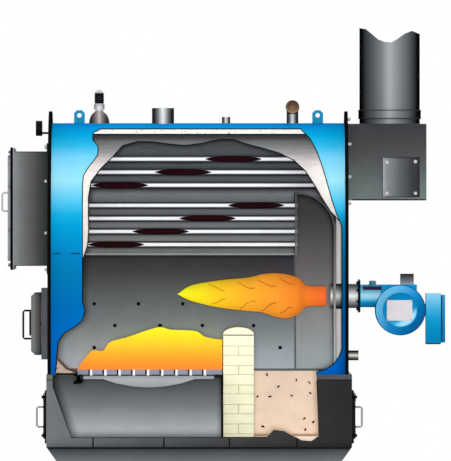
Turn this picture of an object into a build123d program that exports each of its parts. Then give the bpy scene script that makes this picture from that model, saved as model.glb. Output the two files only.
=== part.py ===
from build123d import *
import os

# Firetube boiler over a solid-fuel furnace, cut away along one side.
# X runs along the boiler from the fire-door end to the burner end, the cut side is -Y, Z is up.
# The origin is at floor level in the middle of the whole plant's length and width.

# Boiler body
body_length = 2210.0
sheet_t = 25.0
shell_r = 790.0
shell_t = 12.0
lagging_t = 46.0
jacket_t = 4.0
sheet_rim = 90.0
leg_height = 1054.0
seat_gap = 0.3
weld_gap = 0.3

# Furnace and turnaround chamber
water_leg = 98.0
furnace_t = 12.0
crown_t = 18.0
crown_corner_r = 90.0
tube_to_crown = 63.0
front_water_gap = 22.0
rear_water_gap = 70.0
ring_height = 30.0
chamber_depth = 305.0
chamber_rise = 96.5
chamber_back_r = 290.0
chamber_t = 14.0

# Fire tubes
tube_r = 25.4
tube_wall = 3.2
tube_sides = 6
tube_pitch_z = 98.5
tube_column_pitch = 130.0
tube_main_columns = 4
upper_rows = 3
steam_depth = 224.5
lower_rows = 4
bank_gap = 152.0
tube_hole_clearance = 0.4
tube_end_reach = 4.0
lens_length = 425.0
lens_height = 42.0
lens_starts = [1158.0, 779.0, 303.0, 1330.0, 963.0, 610.0, 273.0]
lens_rim = [(0.0, 0.0), (0.18, 0.62), (0.5, 1.0), (0.82, 0.62), (1.0, 0.0), (0.82, -0.62),
            (0.5, -1.0), (0.18, -0.62)]

# Base casing and skid
skid_height = 200.0
skid_bevel = 142.0
skid_flange = 110.0
skid_flange_t = 14.0
skid_web_t = 10.0
skid_cross_count = 4
skid_cross_inset = 60.0
skid_cross_t = 10.0
base_height = 500.0
base_overhang_front = 8.0
base_overhang_rear = 25.0
base_t = 8.0
frame_height = 43.0
frame_t = 12.0
ash_opening_width = 440.0
ash_opening_height = 340.0
ash_opening_sill = 45.0
base_window_front = 39.0
base_window_shoulder = 50.0
base_window_taper = 139.0
base_window_flat = 371.0
base_mound_x = 304.0
base_mound_foot = 199.0
base_window_lip = 22.0
base_window_sills = [0.134, 0.142, 0.254, 0.18, 0.164]

# Grate
grate_start = 198.0
grate_length = 1087.0
grate_rise = 35.0
grate_bar_count = 6
grate_bar_gap = 7.0
grate_side_gap = 13.0
grate_table_t = 38.0
grate_web_t = 26.0
grate_web_inset = 18.0
grate_end_depth = 34.0
grate_belly_depth = 98.0
grate_belly = [(0.15, 0.35), (0.25, 0.68), (0.38, 0.92), (0.5, 1.0), (0.62, 0.92),
               (0.75, 0.68), (0.85, 0.35)]
grate_slot_count = 9
grate_slot_width = 22.0
grate_slot_pitch = 107.0
grate_first_slot = 92.0
bearer_width = 56.0
bearer_height = 67.0
bearer_flange_t = 12.0
bearer_web_t = 10.0
bearer_lap = 26.0
angle_leg = 60.0
angle_t = 9.0
dead_plate_t = 12.0
fuel_height = 318.0
fuel_crest = [(0.0, 0.02), (0.095, 0.43), (0.176, 0.445), (0.227, 0.65), (0.349, 0.77),
              (0.48, 0.925), (0.571, 1.0), (0.652, 0.94), (0.814, 0.91), (0.885, 0.77),
              (1.0, 0.7)]

# Masonry
bridge_thickness = 232.0
bridge_height = 294.0
bridge_crown_rise = 58.0
plenum_plate_space = 8.0
hopper_floor_t = 67.0
hopper_wall_t = 110.0
hopper_rise = 12.0
masonry_gap = 2.0
toe_length = 150.0
toe_height = 105.0
toe_hollow = 0.27

# Front smokebox
smokebox_depth = 255.0
smokebox_height = 863.0
smokebox_base_height = 814.0
smokebox_half_width = 500.0
smokebox_t = 6.0
smokebox_flange_t = 10.0
smokebox_flange_width = 62.0
smokebox_rim = 24.0
smokebox_rim_t = 8.0
smokebox_door_lap = 30.0
smokebox_door_t = 15.0
smokebox_cover_t = 21.0
smokebox_cover_inset = 68.0
smokebox_cover_r = 40.0
smokebox_hinge_depth = 60.0
smokebox_hinge_inset = 140.0

# Rear smokebox and stack
uptake_depth = 591.0
uptake_height = 578.0
uptake_drop = 97.0
uptake_half_width = 440.0
uptake_t = 6.0
uptake_corner_r = 60.0
cleanout_width = 281.0
cleanout_height = 300.0
cleanout_offset = 258.0
cleanout_sill = 23.0
cleanout_t = 10.0
cleanout_lap = 30.0
stack_r = 228.6
stack_t = 5.0
stack_sides = 36
stack_offset = 318.5
stack_height = 728.0
stack_dip = 112.0
stack_break = [(-1.0, 0.0), (-0.76, 0.11), (-0.57, 0.45), (-0.38, 0.8), (-0.17, 0.97),
               (0.05, 1.0), (0.25, 0.76), (0.46, 0.43), (0.7, 0.22), (1.0, 0.45)]
collar_t = 8.0
collar_height = 65.0
collar_rise = 40.0

# Fire door
fire_opening_width = 460.0
fire_opening_height = 380.0
fire_opening_sill = 187.0
fire_frame_rim = 80.0
fire_frame_depth = 55.0
fire_door_lap = 47.0
fire_door_side_lap = 32.0
fire_mouth_r = 30.0
fire_throat_wall = 12.0
fire_door_depth = 73.0
fire_door_wall = 14.0
fire_door_skin = 34.0
fire_door_edge_r = 36.0
fire_door_bevel = 30.0
fire_hinge_inset = 60.0
fire_strap_lap = 6.0
fire_latch_inset = 105.0
latch_width = 46.0
latch_length = 180.0
latch_t = 15.0
lining_gap = 1.0

# Doors and their hinges
door_gap = 5.0
pintle_r = 9.0
pintle_sides = 12
pintle_clearance = 0.3
pin_stand = 6.0
knuckle_wall = 9.0
knuckle_sides = 8
knuckle_height = 46.0
pintle_lug_height = 22.0
hinge_stand_off = 30.0
strap_height = 34.0
strap_t = 9.0
weld_lap = 2.0
ash_door_lap = 30.0
ash_door_t = 16.0
ash_door_panel_t = 12.0
ash_door_panel_inset = 34.0
ash_hinge_inset = 44.0
handle_bar = 15.0
handle_bend = 17.0
smokebox_handle_reach = 49.0
smokebox_handle_drop = 26.0
smokebox_handle_rise = 127.0
fire_handle_reach = 67.0
fire_handle_drop = 121.0
fire_handle_rise = 106.0
ash_handle_reach = 56.0
ash_handle_length = 165.0

# Fittings
nozzle_r = 84.0
nozzle_bore_r = 77.0
nozzle_x = 838.0
nozzle_rise = 114.0
coupling_r = 31.5
coupling_bore_r = 26.6
coupling_x = 1315.0
coupling_rise = 46.0
elbow_r = 44.5
elbow_bore_r = 39.0
elbow_x = 1818.0
elbow_rise = 121.0
elbow_reach = 82.0
elbow_bead_r = 52.0
elbow_bead_t = 14.0
elbow_socket_r = 41.5
elbow_socket_depth = 30.0
stub_root = 30.0
hole_sides = 8
valve_x = 355.0
valve_stem_r = 30.0
dome_height = 103.0
valve_profile = [(75.0, 0.0), (75.0, 12.0), (36.0, 64.0), (28.0, 103.0), (34.0, 159.0),
                 (34.0, 230.0), (12.0, 254.0)]
valve_nut_r = 40.0
valve_nut_height = 40.0
valve_outlet_r = 21.0
valve_outlet_reach = 70.0
valve_outlet_height = 187.0
lug_width = 82.0
lug_height = 98.0
lug_t = 20.0
lug_corner = 22.0
lug_hole_r = 17.0
lug_hole_height = 59.0
lug_front_x = 205.0
lug_rear_x = 2009.0
opening_clearance = 3.0
gauge_r = 58.0
gauge_depth = 49.0
gauge_dial_sink = 5.0
gauge_rim = 6.0
gauge_drop = 129.0
gauge_lap = 4.0
gauge_stem_r = 8.0
gauge_stem_length = 51.0
gauge_stem_drop = 36.0
blowdown_r = 38.0
blowdown_bore_r = 26.6
blowdown_height = 136.0
blowdown_reach = 83.0

# Burner
burner_height = 586.0
burner_tube_r = 92.0
burner_tube_t = 6.0
burner_tube_nose = 11.0
burner_tube_reach = 78.0
burner_flange_r = 126.0
burner_flange_t = 19.0
burner_neck_r = 86.5
burner_neck_bore = 113.0
burner_neck_bore_r = 78.5
fan_r = 190.0
fan_half_width = 120.0
fan_sides = 32
fan_offset = 302.0
fan_drop = 107.0
motor_r = 130.0
motor_depth = 130.0
cabinet_reach = 737.0
cabinet_depth = 112.0
cabinet_lid_t = 33.0
cabinet_lid_rim = 13.0
cabinet_height = 386.0
cabinet_half_width = 190.0
cabinet_drop = 365.0
cabinet_bracket_half = 45.0
top_block_front = 143.0
top_block_rear = 125.0
top_block_drop = 26.0
top_block_height = 60.0
relay_box_length = 102.0
relay_box_height = 82.0

# Cutaway outlines. The strips are what is left of the jacket round its window; the lists give
# each edge from a corner of the window, as shares of the shell's radius, the front strip,
# the leg height or the window's length
cut_front_strip = 237.0
cut_rear_strip = 50.0
cut_top_strip = 45.0
cut_overrun = 20.0
cut_steps = 2
lagging_lip = 41.0
jacket_cut_top_front = [(0.168, 0.0), (0.081, -0.089), (0.149, -0.177), (0.054, -0.372),
                        (0.0, -0.534)]
jacket_cut_foot_front = [(0.0, 0.524), (-0.215, 0.342), (-0.692, 0.271), (-0.81, 0.152),
                         (-0.861, 0.011)]
jacket_cut_foot_rear = [(-0.242, 0.018), (-0.089, 0.066), (0.0, 0.182)]
jacket_cut_top_rear = [(0.0, -0.93), (-0.109, -0.63), (-0.216, -0.27), (-0.335, -0.049),
                       (-0.389, 0.0)]
shell_cut_edge = [(0.0, -0.253), (0.022, 0.276), (0.049, 0.575), (0.101, 0.694),
                  (0.145, 0.83), (0.203, 0.882), (0.426, 0.851), (0.569, 0.91),
                  (0.637, 0.859), (0.748, 0.784), (0.837, 0.663), (0.907, 0.416),
                  (1.0, 0.101)]

# Derived datums
jacket_r = shell_r + lagging_t + jacket_t
sheet_r = jacket_r + sheet_rim
base_half_width = sheet_r
shell_inner_r = shell_r - shell_t
furnace_half_width = shell_inner_r - water_leg
front_reach = (smokebox_depth + smokebox_flange_t + door_gap + smokebox_door_t
               + smokebox_cover_t + smokebox_handle_reach)
plant_length = front_reach + body_length + 2 * sheet_t + cabinet_reach
front_x = -plant_length / 2 + front_reach
inner_front_x = front_x + sheet_t
inner_rear_x = inner_front_x + body_length
rear_x = inner_rear_x + sheet_t
base_top_z = skid_height + base_height
boiler_z = base_top_z + frame_height
centre_z = boiler_z + leg_height
shell_top_z = centre_z + shell_r
jacket_top_z = centre_z + jacket_r
sheet_top_z = centre_z + sheet_r
upper_z = shell_top_z - steam_depth
lower_z = upper_z - (upper_rows - 1) * tube_pitch_z - bank_gap
crown_z = lower_z - (lower_rows - 1) * tube_pitch_z - tube_to_crown
chamber_top_z = lower_z + chamber_rise
furnace_front_x = inner_front_x + front_water_gap
chamber_back_x = inner_rear_x - rear_water_gap
chamber_front_x = chamber_back_x - chamber_depth
base_front_x = front_x - base_overhang_front
base_rear_x = rear_x + base_overhang_rear
grate_top_z = boiler_z + grate_rise
grate_seat_z = grate_top_z - grate_table_t
grate_width = 2 * (furnace_half_width - furnace_t - grate_side_gap)
grate_bar_pitch = grate_width / grate_bar_count
bars_x = inner_front_x + grate_start
bars_end_x = bars_x + grate_length
bridge_x = bars_end_x + plenum_plate_space
bridge_end_x = bridge_x + bridge_thickness
base_floor_z = skid_height + base_t
burner_neck_x = rear_x + burner_tube_reach + burner_flange_t
tube_columns_y = [(i - (tube_main_columns - 1) / 2) * 2 * tube_column_pitch
                  for i in range(tube_main_columns)]
near_column_y = tube_columns_y[0]
cut_left_x = inner_front_x + cut_front_strip
cut_right_x = rear_x - cut_rear_strip
cut_top_z = jacket_top_z - cut_top_strip
cut_far_y = 0.0
cut_near_y = -base_half_width - cut_overrun


def box_between(x_span, y_span, z_span):
    """A block given by its limits along the three axes."""
    size = [b - a for a, b in (x_span, y_span, z_span)]
    middle = [(a + b) / 2 for a, b in (x_span, y_span, z_span)]
    return Pos(*middle) * Box(*size)


def side_prism(face, y_lo, y_hi):
    """A face drawn in X and Z, carried across the boiler from y_lo to y_hi."""
    return extrude(Plane.XZ.offset(-y_hi) * face, y_hi - y_lo)


def end_prism(face, x_lo, x_hi):
    """A face drawn in Y and Z, carried along the boiler from x_lo to x_hi."""
    return extrude(Plane.YZ.offset(x_lo) * face, x_hi - x_lo)


def plan_prism(face, z_lo, z_hi):
    """A face drawn in X and Y, raised from z_lo to z_hi."""
    return extrude(Plane.XY.offset(z_lo) * face, z_hi - z_lo)


def rod_x(x_lo, x_hi, y, z, r):
    return end_prism(Pos(y, z) * Circle(r), x_lo, x_hi)


def rod_y(y_lo, y_hi, x, z, r):
    return side_prism(Pos(x, z) * Circle(r), y_lo, y_hi)


def rod_z(z_lo, z_hi, x, y, r):
    return plan_prism(Pos(x, y) * Circle(r), z_lo, z_hi)


def arch_face(r, base_z):
    """The boiler's end outline: straight legs under a half-round crown."""
    legs = Pos(0, (base_z + centre_z) / 2) * Rectangle(2 * r, centre_z - base_z)
    return legs + Pos(0, centre_z) * Circle(r)


def arch_shell(r_out, r_in, x_lo, x_hi, base_z):
    """A wrapper sheet of the arch outline, open underneath."""
    outer = end_prism(arch_face(r_out, base_z), x_lo, x_hi)
    inner = end_prism(arch_face(r_in, base_z - 1.0), x_lo - 1.0, x_hi + 1.0)
    return outer - inner


def save(shape, name):
    export_step(shape, "parts/" + name + ".step")


def grab_handle(x_face, out, y, z_lo, z_hi, reach):
    """A bent-bar handle standing off a face; out is -1 or +1 along X."""
    bar = handle_bar
    bend = handle_bend
    x_out = x_face + out * reach
    x_in = x_out - out * bar
    face = make_face(Polyline(
        (x_face, z_lo), (x_out - out * bend, z_lo), (x_out, z_lo + bend), (x_out, z_hi - bend),
        (x_out - out * bend, z_hi), (x_face, z_hi), (x_face, z_hi - bar), (x_in, z_hi - bar),
        (x_in, z_lo + bar), (x_face, z_lo + bar), (x_face, z_lo)))
    return side_prism(face, y - bar / 2, y + bar / 2)


def hinge_levels(z_mid, height, inset):
    """The heights of a door's two hinge lugs."""
    return z_mid - height / 2 + inset, z_mid + height / 2 - inset - knuckle_height


def pintle(x_axis, y_axis, x_root, z_lug):
    """A hinge lug on the fixed frame with its upright pin."""
    lug_r = pintle_r + knuckle_wall
    x_tip = x_axis + (lug_r if x_axis > x_root else -lug_r)
    arm = box_between(sorted((x_root, x_tip)), (y_axis - lug_r, y_axis + lug_r),
                      (z_lug, z_lug + pintle_lug_height))
    z_pin = z_lug + pintle_lug_height
    pin = plan_prism(Pos(x_axis, y_axis) * RegularPolygon(pintle_r, pintle_sides), z_pin,
                     z_pin + knuckle_height)
    return arm + pin


def knuckle(x_axis, y_axis, x_plate, out, y_strap_end, z_lug):
    """A door's hinge eye, with the strap that carries it across the door's face."""
    z_lo = z_lug + pintle_lug_height + seat_gap
    z_hi = z_lo + knuckle_height - pin_stand
    eye = plan_prism(Pos(x_axis, y_axis)
                     * RegularPolygon(pintle_r + knuckle_wall, knuckle_sides), z_lo, z_hi)
    strap = box_between(sorted((x_plate, x_plate + out * strap_t)), (y_strap_end, y_axis),
                        (z_lo, z_lo + strap_height))
    bore_face = RegularPolygon(pintle_r + pintle_clearance, pintle_sides, major_radius=False)
    bore = plan_prism(Pos(x_axis, y_axis) * bore_face, z_lo - 1.0, z_hi + 1.0)
    return eye + strap, bore


def eased(points):
    """A smooth line through the points, taken as short straight cuts."""
    curve = Spline(*points)
    count = cut_steps * (len(points) - 1)
    cuts = [curve @ (i / count) for i in range(count + 1)]
    return [(cut.X, cut.Y) for cut in cuts]


def from_corner(x, z, shares, width, height):
    """Points given from a corner as shares of a width and a height."""
    return [(x + across * width, z + up * height) for across, up in shares]


# Cutaway outlines, drawn in X and Z as seen from the cut side
front_strip = cut_left_x - inner_front_x
top_front = eased(from_corner(cut_left_x, cut_top_z, jacket_cut_top_front, shell_r, shell_r))
foot_front = eased(from_corner(cut_left_x, boiler_z, jacket_cut_foot_front, front_strip,
                               leg_height))
foot_rear = eased(from_corner(cut_right_x, boiler_z, jacket_cut_foot_rear, shell_r, leg_height))
top_rear = eased(from_corner(cut_right_x, cut_top_z, jacket_cut_top_rear, shell_r, shell_r))
window_rear_x = foot_rear[0][0]
jacket_cut = make_face(Polyline(
    *top_front, *foot_front, (foot_front[-1][0], skid_height), (window_rear_x, skid_height),
    *foot_rear, *top_rear, top_front[0]))
shell_edge = eased(from_corner(cut_left_x, centre_z, shell_cut_edge, cut_right_x - cut_left_x,
                               shell_r))
shell_cut = make_face(Polyline(*shell_edge, (cut_right_x, shell_edge[0][1]), shell_edge[0]))
upper_cut = side_prism(shell_cut, cut_near_y, cut_far_y)
jacket_window = side_prism(jacket_cut, cut_near_y, cut_far_y)
lower_band = box_between((front_x, rear_x), (cut_near_y, cut_far_y),
                         (skid_height, shell_edge[0][1] + 1))
shell_window = upper_cut + (jacket_window & lower_band)
lagging_band = box_between((front_x, rear_x), (cut_near_y, cut_far_y),
                           (skid_height, cut_top_z - lagging_lip))
lagging_window = jacket_window & lagging_band


# Fire tube layout: main columns, with columns between them half a pitch lower
def bank_rows(top_z, rows):
    main = [(y, top_z - i * tube_pitch_z) for y in tube_columns_y for i in range(rows)]
    between = [(y + tube_column_pitch, top_z - (i + 0.5) * tube_pitch_z)
               for y in tube_columns_y[:-1] for i in range(rows - 1)]
    return main, between


upper_main, upper_between = bank_rows(upper_z, upper_rows)
lower_main, lower_between = bank_rows(lower_z, lower_rows)
upper_tubes = upper_main + upper_between
lower_tubes = lower_main + lower_between


def tube_holes(places, x_lo, x_hi):
    face = Sketch() + [Pos(y, z) * RegularPolygon(tube_r + tube_hole_clearance, tube_sides)
                       for y, z in places]
    return end_prism(face, x_lo, x_hi)


def fire_tube(y, z, x_lo, x_hi):
    ring = RegularPolygon(tube_r, tube_sides) - RegularPolygon(tube_r - tube_wall, tube_sides)
    return end_prism(Pos(y, z) * ring, x_lo, x_hi)


def cut_tube(y, z, x_lo, x_hi, lens_x):
    """A near-side tube with a long lens opened in its wall to show the bore."""
    rim = [(lens_x + share * lens_length, z + rise * lens_height / 2)
           for share, rise in lens_rim]
    lens = make_face(Polyline(*rim, rim[0]))
    return fire_tube(y, z, x_lo, x_hi) - side_prism(lens, y - 2 * tube_r, y)


def bank(main, between, x_lo, x_hi, lenses):
    tubes = []
    near = [place for place in main if place[0] == near_column_y]
    for (y, z), lens in zip(near, lenses):
        tubes.append(cut_tube(y, z, x_lo, x_hi, inner_front_x + lens))
    tubes += [fire_tube(y, z, x_lo, x_hi) for y, z in main if y != near_column_y]
    tubes += [fire_tube(y, z, x_lo, x_hi) for y, z in between]
    return Compound(children=tubes)


def tube_sheets():
    front = end_prism(arch_face(sheet_r, boiler_z), front_x, inner_front_x)
    front -= tube_holes(upper_tubes + lower_tubes, front_x - 1, inner_front_x + 1)
    front -= end_prism(fire_mouth_face(0), front_x - 1, inner_front_x + 1)
    rear = end_prism(arch_face(sheet_r, boiler_z), inner_rear_x, rear_x)
    rear -= tube_holes(upper_tubes, inner_rear_x - 1, rear_x + 1)
    rear -= rod_x(inner_rear_x - 1, rear_x + 1, 0, boiler_z + burner_height,
                  burner_tube_r + weld_gap)
    rear -= rod_x(inner_rear_x - 1, rear_x + 1, 0, boiler_z + blowdown_height,
                  blowdown_r + weld_gap)
    save(front, "front_tube_sheet")
    save(rear, "rear_tube_sheet")


def pass_tubes():
    end = tube_end_reach
    upper = bank(upper_main, upper_between, front_x - end, rear_x + end,
                 lens_starts[:upper_rows])
    lower = bank(lower_main, lower_between, front_x - end, chamber_front_x + chamber_t + end,
                 lens_starts[upper_rows:])
    save(upper, "third_pass_tubes")
    save(lower, "second_pass_tubes")


def crown_hole(x, r, clearance):
    """A hole for a round fitting on the crown, x along the boiler."""
    face = Pos(inner_front_x + x, 0) * RegularPolygon(r + clearance, hole_sides,
                                                      major_radius=False)
    return plan_prism(face, shell_top_z - 2 * stub_root, jacket_top_z + stub_root)


def lagging_gap(x, half):
    """A square gap in the lagging blanket round a fitting on the crown."""
    x_mid = inner_front_x + x
    return box_between((x_mid - half, x_mid + half), (-half, half),
                       (shell_top_z - stub_root, jacket_top_z + stub_root))


def top_openings():
    """Holes that the fittings on the crown need through the jacket."""
    gap = opening_clearance
    holes = crown_hole(nozzle_x, nozzle_r, gap) + crown_hole(coupling_x, coupling_r, gap)
    holes += crown_hole(elbow_x, elbow_r, gap) + crown_hole(valve_x, valve_stem_r, gap)
    half = lug_width / 2 + opening_clearance
    half_t = lug_t / 2 + opening_clearance
    for x in (lug_front_x, lug_rear_x):
        x_mid = inner_front_x + x
        holes += box_between((x_mid - half, x_mid + half), (-half_t, half_t),
                             (shell_top_z - 2 * stub_root, jacket_top_z + stub_root))
    return holes


def body_wrappers():
    shell = arch_shell(shell_r, shell_inner_r, inner_front_x, inner_rear_x, boiler_z)
    shell -= shell_window
    for x, r in ((nozzle_x, nozzle_r), (coupling_x, coupling_r), (elbow_x, elbow_r),
                 (valve_x, valve_stem_r)):
        shell -= crown_hole(x, r, weld_gap)
    save(shell, "pressure_shell")
    lagging = arch_shell(jacket_r - jacket_t - seat_gap, shell_r + seat_gap,
                         inner_front_x, inner_rear_x, boiler_z)
    for x, half in ((nozzle_x, nozzle_r), (coupling_x, coupling_r), (elbow_x, elbow_r),
                    (valve_x, valve_stem_r), (lug_front_x, lug_width / 2),
                    (lug_rear_x, lug_width / 2)):
        lagging -= lagging_gap(x, half + opening_clearance)
    save(lagging - lagging_window, "lagging")
    openings = top_openings()
    jacket = arch_shell(jacket_r, jacket_r - jacket_t, inner_front_x, inner_rear_x, boiler_z)
    save(jacket - jacket_window - openings, "jacket")


def fire_mouth_face(inset):
    """The fire door's opening through the front sheets, drawn in by inset."""
    z_mid = boiler_z + fire_opening_sill + fire_opening_height / 2
    return Pos(0, z_mid) * RectangleRounded(fire_opening_width - 2 * inset,
                                            fire_opening_height - 2 * inset,
                                            fire_mouth_r - inset)


def furnace():
    half = furnace_half_width
    height = crown_z - boiler_z
    outer = Pos(0, boiler_z + height / 2) * Rectangle(2 * half, height)
    top_corners = outer.vertices().group_by(Axis.Y)[-1]
    outer = fillet(top_corners, crown_corner_r)
    inner_height = height - crown_t
    inner = Pos(0, boiler_z + inner_height / 2) * Rectangle(2 * (half - furnace_t), inner_height)
    inner = fillet(inner.vertices().group_by(Axis.Y)[-1], crown_corner_r - furnace_t)
    body_x = (furnace_front_x + furnace_t, chamber_front_x)
    wrapper = end_prism(outer - inner, *body_x)
    above_ring = box_between((front_x, rear_x), (-half - 1, half + 1),
                             (boiler_z - 1, boiler_z + ring_height))
    save(wrapper - above_ring - jacket_window, "furnace_wrapper")
    front = end_prism(outer, furnace_front_x, furnace_front_x + furnace_t)
    front -= end_prism(fire_mouth_face(0), furnace_front_x - 1, furnace_front_x + furnace_t + 1)
    save(front - above_ring, "furnace_front_sheet")


def chamber_profile(inset):
    """Side outline of the turnaround chamber with its rounded top back corner."""
    x_lo = chamber_front_x + (chamber_t if inset else 0)
    x_hi = chamber_back_x - inset
    z_lo = boiler_z + ring_height
    z_hi = chamber_top_z - inset
    r = chamber_back_r - inset
    return make_face([
        Line((x_lo, z_lo), (x_lo, z_hi)),
        Line((x_lo, z_hi), (x_hi - r, z_hi)),
        RadiusArc((x_hi - r, z_hi), (x_hi, z_hi - r), r),
        Line((x_hi, z_hi - r), (x_hi, z_lo)),
        Line((x_hi, z_lo), (x_lo, z_lo)),
    ])


def chamber():
    half = furnace_half_width
    t = chamber_t
    back_top = side_prism(chamber_profile(0) - chamber_profile(t), -half, half)
    front_cut = box_between((chamber_front_x - 1, chamber_front_x + t),
                            (-half - 1, half + 1), (boiler_z, chamber_top_z + 1))
    back_top -= front_cut
    sides = side_prism(chamber_profile(t), half - t, half)
    sides += side_prism(chamber_profile(t), -half, -half + t)
    wrapper = back_top + sides
    wrapper -= jacket_window & box_between(
        (front_x, rear_x), (-half - 1, -half + t), (boiler_z - 10, chamber_top_z + 10))
    wrapper -= rod_x(chamber_back_x - 2 * t, chamber_back_x + 1, 0, boiler_z + burner_height,
                     burner_tube_r + weld_gap)
    save(wrapper, "turnaround_chamber")
    sheet = box_between((chamber_front_x, chamber_front_x + t), (-half, half),
                        (crown_z - crown_t, chamber_top_z))
    sheet -= tube_holes(lower_tubes, chamber_front_x - 1, chamber_front_x + t + 1)
    save(sheet, "chamber_tube_sheet")


def foundation_ring():
    z = (boiler_z, boiler_z + ring_height)
    outer = box_between((inner_front_x, inner_rear_x), (-shell_inner_r, shell_inner_r), z)
    inner = box_between((furnace_front_x + furnace_t, chamber_back_x - chamber_t),
                        (-furnace_half_width + furnace_t, furnace_half_width - furnace_t),
                        (z[0] - 1, z[1] + 1))
    ring = outer - inner - jacket_window
    save(ring, "foundation_ring")


def smokebox_front():
    z_lo = boiler_z + smokebox_base_height
    z_mid = z_lo + smokebox_height / 2
    half = smokebox_half_width
    x_front = front_x - smokebox_depth - smokebox_flange_t
    outer = Pos(0, z_mid) * Rectangle(2 * half, smokebox_height)
    inner = Pos(0, z_mid) * Rectangle(2 * (half - smokebox_t), smokebox_height - 2 * smokebox_t)
    box = end_prism(outer - inner, x_front, front_x)
    flange_face = Pos(0, z_mid) * Rectangle(2 * (half + smokebox_flange_width),
                                            smokebox_height + 2 * smokebox_flange_width)
    flange = end_prism(flange_face - inner, front_x - smokebox_flange_t, front_x)
    rim = smokebox_rim
    rim_face = Pos(0, z_mid) * Rectangle(2 * (half + rim), smokebox_height + 2 * rim)
    collar = end_prism(rim_face - inner, x_front, x_front + smokebox_rim_t)
    save(box + flange + collar, "front_smokebox")
    # Door, hinged on the far edge
    lap = smokebox_door_lap
    door_half = half + lap
    height = smokebox_height + 2 * lap
    x_back = x_front - door_gap
    x_face = x_back - smokebox_door_t
    door = end_prism(Pos(0, z_mid) * Rectangle(2 * door_half, height), x_face, x_back)
    inset = smokebox_cover_inset
    cover_face = Pos(0, z_mid) * RectangleRounded(2 * (door_half - inset), height - 2 * inset,
                                                  smokebox_cover_r)
    x_cover = x_face - smokebox_cover_t
    cover = end_prism(cover_face, x_cover, x_face)
    y_axis = door_half + hinge_stand_off
    x_axis = x_back - smokebox_door_t / 2
    lug_r = pintle_r + knuckle_wall
    root = (x_front + smokebox_rim_t + seat_gap, x_front + smokebox_hinge_depth)
    pins = []
    bores = []
    for z in hinge_levels(z_mid, height, smokebox_hinge_inset):
        z_pad = (z, z + pintle_lug_height)
        pins.append(pintle(x_axis, y_axis, root[1], z)
                    + box_between(root, (half, y_axis + lug_r), z_pad))
        eye, bore = knuckle(x_axis, y_axis, x_face, -1, door_half - inset + weld_lap, z)
        door += eye
        bores.append(bore)
    for bore in bores:
        door -= bore
    save(door, "smokebox_door")
    handle = grab_handle(x_cover, -1, -door_half + 2 * inset, z_mid - smokebox_handle_drop,
                         z_mid + smokebox_handle_rise, smokebox_handle_reach)
    save(cover + handle, "smokebox_door_cover")
    return pins


def smokebox_rear():
    z_hi = sheet_top_z - uptake_drop
    z_lo = z_hi - uptake_height
    z_mid = (z_lo + z_hi) / 2
    half = uptake_half_width
    x_hi = rear_x + uptake_depth
    face = Pos(0, z_mid) * Rectangle(2 * half, uptake_height)
    face = fillet(face.vertices().group_by(Axis.Y)[-1], uptake_corner_r)
    inner = Pos(0, z_mid) * Rectangle(2 * (half - uptake_t), uptake_height - 2 * uptake_t)
    inner = fillet(inner.vertices().group_by(Axis.Y)[-1], uptake_corner_r - uptake_t)
    box = end_prism(face, rear_x, x_hi) - end_prism(inner, rear_x - 1, x_hi - uptake_t)
    stack_x = rear_x + stack_offset
    bore = stack_r - stack_t
    box -= rod_z(z_hi - 2 * uptake_t, z_hi + 1, stack_x, 0, bore)
    hatch_x = rear_x + cleanout_offset
    hatch_z = z_lo + cleanout_sill
    lap = cleanout_lap
    box -= box_between((hatch_x + lap, hatch_x + cleanout_width - lap),
                       (-half - 1, -half + 2 * uptake_t),
                       (hatch_z + lap, hatch_z + cleanout_height - lap))
    save(box, "rear_smokebox")
    save(box_between((hatch_x, hatch_x + cleanout_width), (-half - cleanout_t, -half),
                     (hatch_z, hatch_z + cleanout_height)), "cleanout_plate")
    # Stack with its break line at the top
    z_top = z_hi + stack_height
    z_collar = z_hi + collar_rise
    def ring(r, z_from, z_to):
        return plan_prism(Pos(stack_x, 0) * RegularPolygon(r, stack_sides), z_from, z_to)

    stack = ring(stack_r, z_hi, z_top)
    stack += ring(stack_r + collar_t, z_collar, z_collar + collar_height)
    stack -= ring(bore, z_hi - 1, z_top + 1)
    reach = stack_r + collar_t
    edge = [(stack_x + share * reach, z_top - drop * stack_dip)
            for share, drop in stack_break]
    broken = make_face(Polyline(*edge, (edge[-1][0], z_top + 1), (edge[0][0], z_top + 1),
                                edge[0]))
    stack -= side_prism(broken, -reach, reach)
    save(stack, "stack")


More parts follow.
